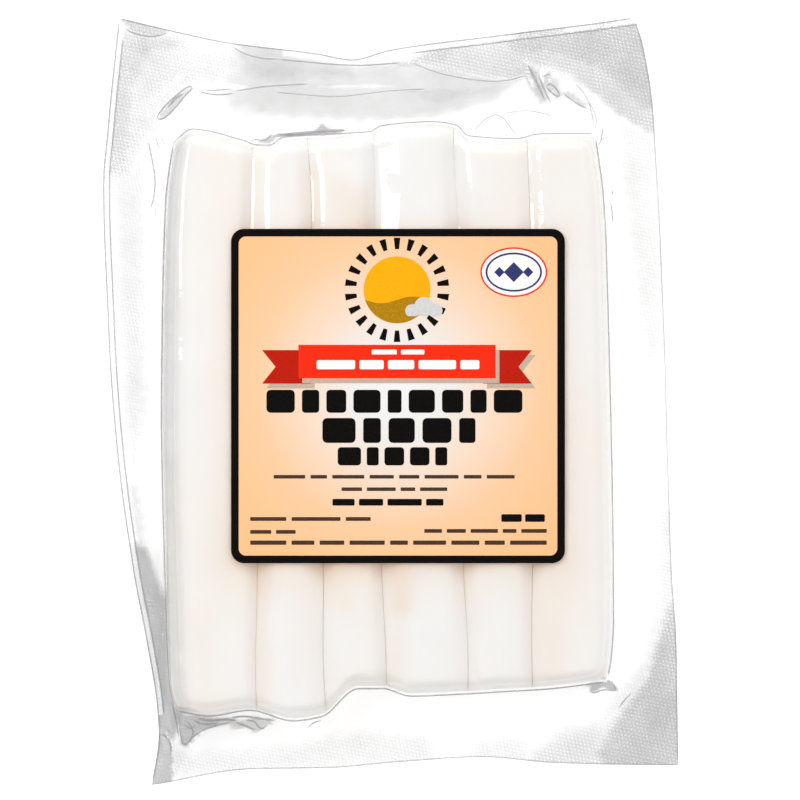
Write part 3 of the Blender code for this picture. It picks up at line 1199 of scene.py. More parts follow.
    ruffles: tuple[Stroke, ...] = (
        Stroke((-49.2, 60.2), (-42.4, 66.2), 0.9, 0.55),
        Stroke((-47.4, 59.6), (-42.0, 64.6), 0.7, -0.35),
        Stroke((-40.5, 65.4), (-31.0, 65.6), 0.8, 0.35),
        Stroke((-29.0, 65.4), (2.0, 65.9), 0.9, 0.10),
        Stroke((-30.0, 62.0), (6.0, 62.3), 1.4, -0.10),
        Stroke((4.7, 71.4), (23.3, 67.3), 0.9, 0.35),
        Stroke((28.8, 71.1), (32.6, 63.4), 0.8, 0.55),
        Stroke((31.1, 68.8), (34.6, 62.5), 0.7, -0.45),
        Stroke((33.5, 67.5), (42.0, 61.8), 0.9, 0.55),
        Stroke((36.5, 69.0), (43.5, 59.5), 0.8, 0.30),
        Stroke((49.5, 59.0), (50.5, 20.0), 1.6, 0.35),
        Stroke((46.8, -67.5), (54.8, -56.5), 1.3, 0.50),
        Stroke((55.5, -55.0), (58.0, -34.0), 1.2, 0.35),
        Stroke((-47.9, -69.9), (-46.3, -73.5), 0.9, 0.70),
        Stroke((-54.8, -30.0), (-50.6, -57.0), 0.8, 0.35),
        Stroke((-44.4, -67.0), (-43.7, -72.5), 0.6, 0.45),
        Stroke((-51.0, 54.5), (-49.8, 42.0), 0.7, 0.35),
        Stroke((-55.5, 74.0), (-52.0, 60.0), 1.2, 0.25),
        Stroke((-52.5, 73.0), (-46.5, 67.0), 1.3, -0.25),
    )
    base_haze: float = 0.03
    lip_haze: float = 0.35
    lip_reach: Point = (1.0, 1.6)
    lip_bottom: float = -66.6
    lip_fade: float = 1.0
    no_lip: float = 4.0
    # Painted shade on the film over the block's left side wall.
    wall_painted_shade: float = 0.80
    wall_shade_reach: float = 0.28
    ruffle_start: float = 4.0

    def build(self) -> None:
        """Make the film."""
        places = self.form.place(*np.meshgrid(self.across_lines(), self.along_lines()))
        tops = places.points(self.front_height(places))
        bottoms = places.points(self.form.back(places) + self.puckers(places))
        vertices, faces = closed_between(tops, bottoms)
        piece = make_piece("pouch_film", vertices, faces, self.finish.build(), "bag", Slot.FILM)
        masks = [patch.at(places.x, places.y) for patch in self.patches]
        lip = self.lip(places)
        shares = [patch.haze_and_shade * (1.0 if patch.on_lip else lip) for patch in self.patches]
        haze_and_shade = np.max([share * mask for share, mask in zip(shares, masks)], 0)
        dots = np.max([patch.dots * mask for patch, mask in zip(self.patches, masks)], 0)
        border = places.on_border()
        # Painted shade over the left side wall of the block, added to the haze.
        wall_shade = self.wall_painted_shade * smooth_step(-places.across, -self.wall_shade_reach, 0.0) * ~border
        paint(piece, "haze_and_shade", np.tile((self.base_haze + haze_and_shade * border + wall_shade).ravel(), 2))
        paint(piece, "dots", np.tile((dots * border).ravel(), 2))

    def lip(self, places: Places) -> Array:
        """Find the share of the haze that shows, which is less in the clear lip at the left and the top.

        Args:
            places: Places on the pouch.

        Returns:
            The share at each of them.
        """
        past = smooth_step(self.lip_bottom - places.y, -self.lip_fade, self.lip_fade)
        left = places.x - self.form.left_edge.at(places.y) + self.no_lip * past
        away = np.minimum(left, self.form.top_edge.at(places.x) - places.y)
        return between(self.lip_haze, 1.0, smooth_step(away, *self.lip_reach))

    def puckers(self, places: Places) -> Array:
        """Find the height of the small ruffles in the border.

        Args:
            places: Places on the pouch.

        Returns:
            The height at each of them.
        """
        rise = np.minimum(1, self.ruffle_start * np.hypot(*places.outside()))
        return sum(ruffle.at(places.x, places.y) for ruffle in self.ruffles) * rise

    def front_height(self, places: Places) -> Array:
        """Return the height of the front sheet at each place, ruffles and all."""
        lift = np.where(places.on_border(), 0, self.front_lift * self.form.rounding(places))
        return self.form.front(places) + lift + self.puckers(places)

    def across_lines(self) -> Array:
        """Space the film's grid lines across the pouch.

        Returns:
            Their across values, left to right.
        """
        border = np.linspace(0, 1, self.border_columns)[:-1]
        sticks = [stick + even_ends(self.stick_columns)[:-1] for stick in range(STICKS)]
        return np.concatenate([border - 1, *sticks, [STICKS], STICKS + 1 - border[::-1]])

    def along_lines(self) -> Array:
        """Return the along values of the film's grid lines, bottom to top."""
        border = np.linspace(0, 1, self.border_rows)[:-1]
        return np.concatenate([border - 1, even_ends(self.block_rows), 2 - border[::-1]])


@dataclass(frozen=True)
class Fold:
    """A fine fold or weld line in the film, along a path on the pouch, painted grey with haze and shade and
    dark with a painted shade line.
    """

    path: tuple[Point, ...]
    width: float
    haze_and_shade: float
    # How dark the painted shade line along the fold is.
    line: float = 0.0
    smoothing: int = 3

    def smooth_path(self) -> Array:
        """Cut the path's corners to smooth bends.

        Returns:
            The smoother path's points.
        """
        points = np.array(self.path, float)
        for _ in range(self.smoothing):
            early = 0.75 * points[:-1] + 0.25 * points[1:]
            late = 0.25 * points[:-1] + 0.75 * points[1:]
            inner = np.stack([early, late], 1).reshape(-1, 2)
            points = np.concatenate([points[:1], inner, points[-1:]])
        return points


class Edge(Enum):
    """The pouch's four edges, each with the name of its line on the form."""

    LEFT = "left_edge"
    RIGHT = "right_edge"
    TOP = "top_edge"
    BOTTOM = "bottom_edge"


@dataclass(frozen=True)
class WeldLine:
    """A line that runs beside one edge of the pouch, painted grey and dark as shade along the film's edge."""

    edge: Edge
    span: Point
    shift: float
    width: float
    haze_and_shade: float
    line: float
    points: int = 160

    def fold(self, form: PouchForm) -> Fold:
        """Lay the line on the pouch.

        Args:
            form: The pouch's form.

        Returns:
            The line as a fold.
        """
        run = np.linspace(*self.span, self.points)
        beside = getattr(form, self.edge.value).at(run) + self.shift
        is_side = self.edge in (Edge.LEFT, Edge.RIGHT)
        path = tuple(zip(beside, run) if is_side else zip(run, beside))
        return Fold(path, self.width, self.haze_and_shade, self.line, 0)


@dataclass
class FilmFolds:
    """The fine folds and weld lines that show on the front film, with painted shade and dark painted shade
    lines on them.
    """

    form: PouchForm
    film: PouchFilm
    height: float = 0.12
    spacing: float = 0.4
    section_steps: int = 8
    taper_reach: float = 1.2
    least_taper: float = 0.02
    raise_by: float = 0.02
    finish: FilmFinish = field(default_factory=lambda: FilmFinish(name="folded film"))
    folds: tuple[Fold, ...] = (
        Fold((
            (-49.2, 60.0), (-47.6, 62.3), (-43.6, 65.9), (-42.0, 66.5), (-41.7, 65.9), (-43.0, 64.9),
            (-45.3, 62.0), (-47.6, 59.7), (-48.9, 59.4), (-49.2, 60.0),
        ), 0.35, 1.0, 0.35),
        Fold(((-46.9, 62.0), (-45.3, 63.9), (-43.6, 64.9)), 0.5, 1.0, 0.2),
        Fold(((-40.4, 65.3), (-37.1, 64.6), (-33.2, 64.9)), 0.3, 1.0, 0.3),
        Fold(((-39.1, 65.5), (-33.6, 65.9)), 0.25, 1.0, 0.2),
        Fold(((-32.6, 65.5), (-26.7, 66.5), (-17.6, 67.0)), 0.3, 0.9),
        Fold(((-24.1, 65.2), (-12.4, 64.2), (-7.8, 64.6), (-0.2, 65.6), (7.0, 65.9)), 0.25, 0.8),
        Fold(((-51.1, 54.8), (-50.2, 50.6), (-49.6, 47.3), (-49.8, 43.4), (-50.5, 40.9)), 0.3, 1.0, 0.3),
        Fold(((-49.6, 55.8), (-48.7, 52.8)), 0.25, 1.0, 0.1),
        Fold(((-48.5, 56.1), (-47.0, 53.2)), 0.25, 1.0, 0.1),
        Fold(((-49.5, 40.9), (-49.8, 38.5)), 0.25, 1.0, 0.2),
        Fold(((28.8, 71.1), (30.4, 68.1), (32.4, 63.6)), 0.4, 1.0, 0.15),
        Fold(((31.1, 68.8), (32.4, 65.5), (33.7, 62.9)), 0.35, 1.0, 0.1),
        Fold(((31.7, 68.5), (33.7, 69.1)), 0.3, 1.0, 0.3),
        Fold((
            (32.7, 66.5), (33.7, 67.2), (35.6, 64.9), (35.3, 64.1), (33.7, 65.2), (32.7, 66.5),
        ), 0.35, 1.0, 0.3),
        Fold(((36.3, 64.9), (38.9, 62.9), (41.5, 61.6)), 0.3, 1.0, 0.1),
        Fold(((38.9, 67.0), (41.5, 64.0), (42.8, 58.4)), 0.3, 0.8),
        Fold(((-29.8, 54.9), (-28.2, 55.4), (-26.6, 54.8), (-25.0, 56.4)), 0.3, 1.0, 0.3),
        Fold(((-24.0, 56.7), (-22.6, 56.1), (-20.4, 56.7)), 0.3, 1.0, 0.15),
        Fold(((-23.6, 56.4), (-20.0, 56.2), (-16.6, 56.5)), 0.4, 1.0, 0.25),
        Fold(((-41.6, -67.0), (-39.6, -68.0), (-36.4, -67.6)), 0.35, 1.0, 0.25),
        Fold(((-43.6, -68.0), (-42.0, -69.0), (-41.0, -68.0)), 0.3, 1.0, 0.2),
        Fold(((43.7, 53.9), (44.3, 55.1), (44.7, 58.1)), 0.3, 1.0, 0.25),
        Fold(((44.1, 55.1), (45.4, 55.8)), 0.25, 1.0, 0.25),
        Fold(((46.6, 44.7), (46.7, 43.4)), 0.3, 1.0, 0.3),
        Fold(((46.2, 42.1), (46.6, 40.2), (46.7, 37.5)), 0.25, 1.0, 0.3),
        Fold(((4.7, 71.4), (10.2, 69.1), (17.4, 67.8), (23.3, 67.4), (28.5, 68.8)), 0.25, 0.9),
        Fold(((17.4, 57.0), (20.4, 60.2), (23.2, 60.7), (26.4, 56.2)), 0.25, 0.9, 0.06),
        Fold(((23.2, 60.7), (29.0, 61.6), (34.0, 60.2)), 0.25, 0.8, 0.03),
        Fold(((43.0, 57.4), (43.4, 60.0), (41.6, 63.4)), 0.25, 0.8, 0.05),
        Fold(((-14.6, -67.0), (-16.4, -67.5), (-17.4, -68.6)), 0.3, 1.0, 0.16),
        Fold((
            (-44.6, -66.1), (-44.3, -70.1), (-43.6, -72.7), (-41.7, -70.4), (-38.4, -68.4), (-33.9, -67.5),
        ), 0.35, 1.0, 0.2),
        Fold((
            (-30.6, -66.9), (-28.6, -67.2), (-28.0, -68.4), (-27.0, -68.9), (-26.2, -68.0),
        ), 0.4, 1.1, 0.14),
        Fold(((-33.5, -66.4), (-30.5, -66.1), (-27.5, -66.7), (-24.5, -67.0)), 0.4, 1.2, 0.15),
        Fold(((-32.6, -67.4), (-30.6, -68.2), (-28.6, -69.0)), 0.5, 1.0, 0.08),
        Fold(((-40.8, -66.6), (-38.2, -67.2), (-35.0, -66.7), (-32.6, -67.1)), 0.45, 1.2, 0.2),
        Fold(((-42.6, -67.4), (-41.4, -69.6), (-42.4, -71.6)), 0.35, 1.0, 0.25),
        Fold(((-24.8, 56.0), (-20.0, 56.5), (-15.0, 56.9), (-9.5, 57.2)), 0.7, 1.3, 0.12),
        Fold(((42.0, -60.4), (42.5, -61.5), (44.7, -60.4), (47.7, -60.9), (46.7, -59.2)), 0.3, 1.0, 0.15),
        Fold(((-49.2, -70.7), (-47.9, -69.9), (-46.3, -72.0), (-46.4, -74.6)), 0.3, 1.0, 0.2),
        Fold(((-46.2, -63.0), (-45.4, -66.0), (-44.6, -70.5)), 0.3, 1.0, 0.25),
        Fold(((48.0, -64.4), (49.2, -62.7), (50.7, -61.2)), 0.3, 1.0, 0.12),
        Fold(((-56.0, 78.7), (-54.1, 77.5), (-50.2, 76.9), (-47.2, 77.8)), 0.3, 1.0, 0.1),
        Fold(((-33.6, 75.0), (-30.6, 73.2), (-26.7, 72.3), (-23.5, 72.3)), 0.3, 1.0, 0.1),
        Fold(((-23.5, 72.2), (-7.8, 70.8), (1.9, 71.5)), 0.3, 1.0, 0.15),
    )
    weld_lines: tuple[WeldLine, ...] = (
        WeldLine(Edge.LEFT, (-79.9, 79.9), 0.15, 0.34, 1.0, 0.22),
        WeldLine(Edge.LEFT, (-66.0, 76.2), 1.35, 0.34, 1.0, 0.20),
        WeldLine(Edge.RIGHT, (-75.9, 79.9), -0.15, 0.3, 0.8, 0.10),
        WeldLine(Edge.TOP, (-56.6, 50.6), -0.15, 0.34, 1.0, 0.20),
        WeldLine(Edge.TOP, (4.0, 52.0), -1.5525, 0.3, 1.0, 0.18, 80),
        WeldLine(Edge.BOTTOM, (-49.8, 60.0), 0.15, 0.3, 0.8, 0.10),
    )
    # Painted shade lines round the block: the place, width and darkness of each.
    end_shade_lines: tuple[Triple, ...] = ((1.006, 0.32, 0.30), (-0.006, 0.38, 0.30))
    end_span: Point = (0.02, 5.98)
    end_points: int = 300
    side_shade_lines: tuple[Triple, ...] = ((-0.016, 0.34, 0.35), (STICKS + 0.012, 0.34, 0.3))
    side_span: Point = (0.01, 0.99)
    side_points: int = 200

    def build(self) -> None:
        """Make all the folds and lines as one piece."""
        edges = [line.fold(self.form) for line in self.weld_lines]
        vertices: list[Array] = []
        faces: Faces = []
        haze_and_shade: list[float] = []
        line: list[float] = []
        for fold in (*self.folds, *edges, *self.block_lines()):
            points, fold_faces = self.ribbon(fold)
            faces += [[len(haze_and_shade) + number for number in face] for face in fold_faces]
            vertices.append(points)
            haze_and_shade += [fold.haze_and_shade] * len(points)
            line += [fold.line] * len(points)
        finish = self.finish.build()
        piece = make_piece("film_folds", np.concatenate(vertices), faces, finish, "bag", Slot.FILM)
        paint(piece, "haze_and_shade", np.array(haze_and_shade))
        # The dark painted shade lines along the folds, weld lines and the block's rim.
        paint(piece, "line", np.array(line))

    def block_lines(self) -> list[Fold]:
        """Make the dark lines painted along the ends and the outer sides of the six sticks, as shade where
        the film meets the block.

        Returns:
            The lines as folds.
        """
        place = self.form.place
        across = np.linspace(*self.end_span, self.end_points)
        along = np.linspace(*self.side_span, self.side_points)
        runs = [(place(across, np.full_like(across, at)), *looks) for at, *looks in self.end_shade_lines]
        runs += [(place(np.full_like(along, at), along), *looks) for at, *looks in self.side_shade_lines]
        return [Fold(tuple(zip(run.x, run.y)), width, 1.0, line, 0) for run, width, line in runs]

    def ribbon(self, fold: Fold) -> tuple[Array, Faces]:
        """Make a closed body with a flat oval section along a fold, on top of the front film.

        Args:
            fold: The fold.

        Returns:
            The points and faces.
        """
        path = fold.smooth_path()
        run = np.concatenate([[0], np.cumsum(np.hypot(*np.diff(path, axis=0).T))])
        count = max(4, int(run[-1] / self.spacing))
        stations = np.linspace(0, run[-1], count)
        x, y = (np.interp(stations, run, path[:, axis]) for axis in (0, 1))
        z = self.film.front_height(self.form.locate(x, y))
        ahead_x, ahead_y = np.gradient(x), np.gradient(y)
        length = np.hypot(ahead_x, ahead_y)
        from_end = np.minimum(stations, run[-1] - stations)
        taper = np.sqrt(np.clip(from_end / self.taper_reach, self.least_taper, 1))
        steps = self.section_steps
        angles = np.linspace(0, math.tau, steps, endpoint=False)
        aside = np.outer(taper * fold.width / 2, np.cos(angles))
        lift = np.outer(taper * self.height, np.sin(angles))
        points = np.stack([
            x[:, None] - ahead_y[:, None] / length[:, None] * aside,
            y[:, None] + ahead_x[:, None] / length[:, None] * aside,
            z[:, None] + lift + self.raise_by,
        ], 2).reshape(-1, 3)
        faces = [list(range(steps)), [count * steps - 1 - number for number in range(steps)]]
        for station in range(count - 1):
            for corner in range(steps):
                here, there = station * steps + corner, station * steps + (corner + 1) % steps
                faces.append([here, here + steps, there + steps, there])
        return points, faces


def rounded_box(centre: Point, size: Point, radius: float, steps: int) -> list[Point]:
    """Draw a box with round corners.

    Args:
        centre: Its middle.
        size: Its width and height.
        radius: The radius of its corners.
        steps: Steps along each corner.

    Returns:
        The outline, counter-clockwise.
    """
    points = []
    for quarter, (sign_x, sign_y) in enumerate(((1, 1), (-1, 1), (-1, -1), (1, -1))):
        corner = centre[0] + sign_x * (size[0] / 2 - radius), centre[1] + sign_y * (size[1] / 2 - radius)
        points += disc(corner, radius, math.pi / 2 * quarter, math.pi / 2, steps)
    return points


def disc(
    centre: Point, radius: float, start: float = 0.0, sweep: float = math.tau, steps: int = 48
) -> list[Point]:
    """Draw a disc or a part of its rim.

    Args:
        centre: Its middle.
        radius: Its radius.
        start: The angle where the rim starts.
        sweep: The angle that it covers.
        steps: Steps along the rim.

    Returns:
        The points of the rim, counter-clockwise.
    """
    count = steps if sweep >= math.tau else steps + 1
    angles = [start + sweep * step / steps for step in range(count)]
    return [(centre[0] + radius * math.cos(angle), centre[1] + radius * math.sin(angle)) for angle in angles]


def cloud_outline(centre: Point, puffs: Sequence[Triple], base: float, steps: int = 72) -> list[Point]:
    """Draw a cloud of round puffs with a flat base.

    Args:
        centre: A place inside one of the puffs, a little above the base.
        puffs: The x, y and radius of each puff, measured from there.
        base: The height of the base, measured from there.
        steps: Points on the outline.

    Returns:
        The outline, counter-clockwise.
    """
    outline = []
    for out_x, out_y in disc((0.0, 0.0), 1.0, steps=steps):
        reach = 0.0
        for x, y, radius in puffs:
            along = x * out_x + y * out_y
            inside = radius**2 - x**2 - y**2 + along**2
            if inside > 0:
                reach = max(reach, along + math.sqrt(inside))
        if reach * out_y < base:
            reach = base / out_y
        outline.append((centre[0] + reach * out_x, centre[1] + reach * out_y))
    return outline


def slabs(outlines: Sequence[Outline], low: float, high: float) -> tuple[list[Triple], Faces]:
    """Raise flat shapes to thin closed bodies.

    Args:
        outlines: Outlines, each counter-clockwise.
        low: The height of their undersides.
        high: The height of their upper faces.

    Returns:
        The points and faces of all of them.
    """
    vertices: list[Triple] = []
    faces: Faces = []
    for outline in outlines:
        base, count = len(vertices), len(outline)
        vertices += [(x, y, z) for z in (low, high) for x, y in outline]
        faces.append([base + count + number for number in range(count)])
        faces.append([base + number for number in reversed(range(count))])
        for here in range(count):
            there = (here + 1) % count
            faces.append([base + here, base + there, base + there + count, base + here + count])
    return vertices, faces


def ring_slab(outer: Outline, inner: Outline, low: float, high: float) -> tuple[list[Triple], Faces]:
    """Raise the band between two outlines of as many points each to a thin closed body.

    Args:
        outer: The outer outline, counter-clockwise.
        inner: The inner outline, in step with it.
        low: The height of the underside.
        high: The height of the upper face.

    Returns:
        The points and faces.
    """
    count = len(outer)
    vertices = [(x, y, z) for z in (low, high) for line in (outer, inner) for x, y in line]
    faces = []
    for here in range(count):
        there = (here + 1) % count
        for outer_row, inner_row, is_top in ((0, count, False), (2 * count, 3 * count, True)):
            face = [outer_row + here, inner_row + here, inner_row + there, outer_row + there]
            faces.append(face[::-1] if is_top else face)
        faces.append([here, there, there + 2 * count, here + 2 * count])
        faces.append([there + count, here + count, here + 3 * count, there + 3 * count])
    return vertices, faces


@dataclass(frozen=True)
class BarLine:
    """A line of plain bars that stands in the place of a printed line."""

    left: float
    right: float
    top: float
    height: float
    bars: int
    gap: float
    unevenness: float = 0.35
    beat: float = 2.4
    corner_share: float = 0.18
    corner_steps: int = 3

    def outlines(self, offset: Point) -> list[list[Point]]:
        """Draw the bars.

        Args:
            offset: The label's centre.

        Returns:
            Boxes with slightly round corners, of uneven lengths that fill the line.
        """
        beats = [math.sin(self.beat * number + self.top) for number in range(self.bars)]
        weights = [1 + self.unevenness * beat for beat in beats]
        room = self.right - self.left - self.gap * (self.bars - 1)
        boxes, start = [], self.left
        for weight in weights:
            width = room * weight / sum(weights)
            centre = (offset[0] + start + width / 2, offset[1] + self.top - self.height / 2)
            radius = min(width, self.height) * self.corner_share
            boxes.append(rounded_box(centre, (width, self.height), radius, self.corner_steps))
            start += width + self.gap
        return boxes


@dataclass
class Label:
    """The square paper label: its ground, black border and plain generic print."""

    centre: Point = LABEL_CENTRE
    size: Point = (69.8, 69.9)
    corner: float = 2.7
    low: float = 14.3
    high: float = 14.5
    border: float = 1.6
    inner_corner: float = 1.5
    corner_steps: int = 10
    ink_step: float = 0.015
    paper: PaperFinish = field(default_factory=PaperFinish)
    title_lines: tuple[BarLine, ...] = (
        BarLine(-27.5, 26.0, 1.3, 4.8, 9, 1.5),
        BarLine(-15.8, 16.2, -4.6, 5.2, 5, 1.6),
        BarLine(-12.6, 10.3, -10.7, 3.8, 5, 1.2),
    )
    bold_lines: tuple[BarLine, ...] = (
        BarLine(-13.7, 9.5, -21.5, 1.4, 4, 0.9),
        BarLine(21.6, 30.7, -24.7, 1.6, 2, 0.7),
    )
    small_lines: tuple[BarLine, ...] = (
        BarLine(-26.0, 24.4, -16.5, 0.75, 8, 1.1),
        BarLine(-11.8, 10.3, -19.1, 0.75, 4, 1.0),
        BarLine(-30.9, -5.7, -25.3, 0.8, 3, 1.1),
        BarLine(-30.9, -21.4, -28.0, 0.8, 2, 1.0),
        BarLine(5.5, 31.1, -27.8, 0.8, 5, 1.0),
        BarLine(-30.9, 31.1, -30.2, 0.9, 9, 1.1),
    )
    ribbon_bars: tuple[BarLine, ...] = (
        BarLine(-5.5, 5.5, 9.7, 1.0, 2, 0.9),
        BarLine(-17.0, 17.0, 7.5, 1.9, 5, 0.9),
    )
    ribbon_centre: Point = (-0.2, 7.2)
    ribbon_half: Point = (20.6, 3.5)
    ribbon_tail: float = 7.6
    ribbon_tuck: float = 2.6
    ribbon_notch: float = 2.8
    ribbon_drop: float = 1.1
    ribbon_shadow: Point = (0.8, -1.0)
    sun_centre: Point = (-0.2, 22.2)
    sun_radius: float = 7.0
    rays: int = 22
    ray_span: Point = (8.5, 10.9)
    ray_halves: Point = (0.42, 0.70)
    dusk_share: float = 0.30
    dusk_wave: float = 0.7
    dusk_steps: int = 24
    cloud_place: Point = (5.6, -4.3)
    cloud_base: float = -1.2
    cloud_puffs: tuple[Triple, ...] = ((-2.5, -0.1, 1.4), (0.0, 0.8, 2.0), (2.4, 0.0, 1.5))
    badge_centre: Point = (24.2, 25.9)
    badge_half: Point = (7.0, 5.2)
    badge_rings: tuple[tuple[float, Ink], ...] = (
        (0.0, Ink.RED), (0.35, Ink.WHITE), (1.1, Ink.NAVY), (1.5, Ink.WHITE),
    )
    badge_lozenges: tuple[Point, ...] = ((-3.0, 1.1), (0.0, 2.1), (3.0, 1.1))

    def build(self) -> None:
        """Make the label and all its print."""
        self.make_ground()
        self.make_border()
        self.make_text_bars()
        self.make_ribbon()
        self.make_sun()
        self.make_badge()

    def at(self, x: float, y: float) -> Point:
        """Return a place on the pack from a place on the label, measured from its centre."""
        return self.centre[0] + x, self.centre[1] + y

    def print_shapes(self, name: str, outlines: Sequence[Outline], ink: Ink, layer: int = 1) -> None:
        """Print flat shapes on the label.

        Args:
            name: The piece's name.
            outlines: The shapes, in places on the pack.
            ink: Their colour.
            layer: How many coats of ink lie under them, and their own.
        """
        top = self.high + layer * self.ink_step
        vertices, faces = slabs(outlines, self.high - self.ink_step, top)
        make_piece(name, vertices, faces, ink.material(), "label", Slot.PRINT, smooth=False)

    def print_bars(self, name: str, lines: Sequence[BarLine], ink: Ink, layer: int = 1) -> None:
        """Print lines of bars, as print_shapes prints shapes."""
        boxes = [box for line in lines for box in line.outlines(self.centre)]
        self.print_shapes(name, boxes, ink, layer)

    def make_ground(self) -> None:
        """Make the paper."""
        outline = rounded_box(self.centre, self.size, self.corner, self.corner_steps)
        vertices, faces = slabs([outline], self.low, self.high)
        make_piece("label_paper", vertices, faces, self.paper.build(), "label", Slot.PAPER, smooth=False)

    def make_border(self) -> None:
        """Print the black border."""
        inner_size = (self.size[0] - 2 * self.border, self.size[1] - 2 * self.border)
        outer = rounded_box(self.centre, self.size, self.corner, self.corner_steps)
        inner = rounded_box(self.centre, inner_size, self.inner_corner, self.corner_steps)
        vertices, faces = ring_slab(outer, inner, self.high - self.ink_step, self.high + self.ink_step)
        make_piece("label_border", vertices, faces, Ink.BLACK.material(), "label", Slot.PRINT, smooth=False)

    def make_text_bars(self) -> None:
        """Print the bars that stand in the places of the printed lines."""
        self.print_bars("print_title_bars", self.title_lines, Ink.BLACK)
        self.print_bars("print_bold_bars", self.bold_lines, Ink.BLACK)
        self.print_bars("print_small_bars", self.small_lines, Ink.BROWN)

    def ribbon_parts(self, shift: Point) -> tuple[list[Point], list[list[Point]]]:
        """Draw the ribbon.

        Args:
            shift: How far it is moved on the label.

        Returns:
            The outline of its band, and those of its two tails, which hang a little lower.
        """
        x, y = self.ribbon_centre[0] + shift[0], self.ribbon_centre[1] + shift[1]
        wide, high = self.ribbon_half
        corners = ((-wide, -high), (wide, -high), (wide, high), (-wide, high))
        band = [self.at(x + across, y + up) for across, up in corners]
        inner, outer = wide - self.ribbon_tuck, wide + self.ribbon_tail
        notch = outer - self.ribbon_notch
        low, top = y - self.ribbon_drop - high, y - self.ribbon_drop + high
        corners = ((inner, low), (outer, low), (notch, (low + top) / 2), (outer, top), (inner, top))
        tails = [[self.at(x + turn * across, up) for across, up in corners[::turn]] for turn in (1, -1)]
        return band, tails

    def make_ribbon(self) -> None:
        """Print the red ribbon with notched tails, its grey shadow and the white bars on it."""
        band, tails = self.ribbon_parts(self.ribbon_shadow)
        self.print_shapes("print_ribbon_shadow", tails, Ink.SHADOW)
        self.print_shapes("print_band_shadow", [band], Ink.SHADOW, layer=3)
        band, tails = self.ribbon_parts((0.0, 0.0))
        self.print_shapes("print_ribbon_tails", tails, Ink.DEEP_RED, layer=2)
        self.print_shapes("print_ribbon", [band], Ink.RED, layer=4)
        self.print_bars("print_ribbon_bars", self.ribbon_bars, Ink.WHITE, layer=5)

    def make_sun(self) -> None:
        """Print a sun in a ring of short rays, its wavy ochre lower part and a pale cloud beside it."""
        x, y = self.sun_centre
        self.print_shapes("print_sun", [disc(self.at(x, y), self.sun_radius)], Ink.AMBER)
        self.print_shapes("print_rays", [self.ray(number) for number in range(self.rays)], Ink.BLACK)
        self.print_shapes("print_dusk", [self.dusk()], Ink.OCHRE, layer=2)
        middle = self.at(x + self.cloud_place[0], y + self.cloud_place[1])
        cloud = cloud_outline(middle, self.cloud_puffs, self.cloud_base)
        self.print_shapes("print_cloud", [cloud], Ink.MIST, layer=3)

    def ray(self, number: int) -> list[Point]:
        """Draw one of the sun's rays, which widens outwards.

        Args:
            number: Which ray, counter-clockwise.

        Returns:
            Its outline.
        """
        angle = math.tau * (number + 0.5) / self.rays
        cos, sin = math.cos(angle), math.sin(angle)
        (start, end), (thin, thick) = self.ray_span, self.ray_halves
        corners = ((start, -thin), (end, -thick), (end, thick), (start, thin))
        x, y = self.sun_centre
        return [self.at(x + far * cos - half * sin, y + far * sin + half * cos) for far, half in corners]

    def dusk(self) -> list[Point]:
        """Draw the sun's lower part, whose upper side is a wave.

        Returns:
            Its outline.
        """
        x, y = self.sun_centre
        dip = math.asin(self.dusk_share)
        rim = disc(self.at(x, y), self.sun_radius, math.pi + dip, math.pi - 2 * dip, self.dusk_steps)
        half, level = self.sun_radius * math.cos(dip), y - self.sun_radius * self.dusk_share
        for share in np.linspace(0, 1, self.dusk_steps + 1)[1:-1]:
            wave = self.dusk_wave * math.sin(math.tau * share)
            rim.append(self.at(x + half * (1 - 2 * share), level + wave))
        return rim

    def make_badge(self) -> None:
        """Print a small oval badge: a white ground with red and navy rings and three navy lozenges."""
        centre_x, centre_y = self.at(*self.badge_centre)
        for layer, (inset, ink) in enumerate(self.badge_rings, 1):
            wide, high = self.badge_half[0] - inset, self.badge_half[1] - inset
            oval = [(centre_x + x * wide, centre_y + y * high) for x, y in disc((0.0, 0.0), 1.0)]
            self.print_shapes(f"print_badge_{layer}", [oval], ink, layer)
        turns = ((1, 0), (0, 1), (-1, 0), (0, -1))
        lozenges = [
            [(centre_x + shift + size * x, centre_y + size * y) for x, y in turns]
            for shift, size in self.badge_lozenges
        ]
        self.print_shapes("print_badge_lozenges", lozenges, Ink.NAVY, len(self.badge_rings) + 1)


@dataclass(frozen=True)
class SoftLight:
    """A rectangular soft light that faces the pack."""

    name: str
    place: Triple
    size: Point
    brightness: float

    def build(self) -> None:
        """Hang the light, its second side level with Y and its brightness the white that a mirror shows."""
        data = bpy.data.lights.new(self.name, "AREA")
        data.shape = "RECTANGLE"
        data.size, data.size_y = self.size
        data.energy = self.brightness * math.pi * self.size[0] * self.size[1]
        away = Vector(self.place).normalized()
        aside = Vector((0, 1, 0)).cross(away).normalized()
        lamp = bpy.data.objects.new(self.name, data)
        turn = Matrix((aside, away.cross(aside), away)).transposed()
        lamp.matrix_world = Matrix.LocRotScale(Vector(self.place), turn, None)
        bpy.context.scene.collection.objects.link(lamp)


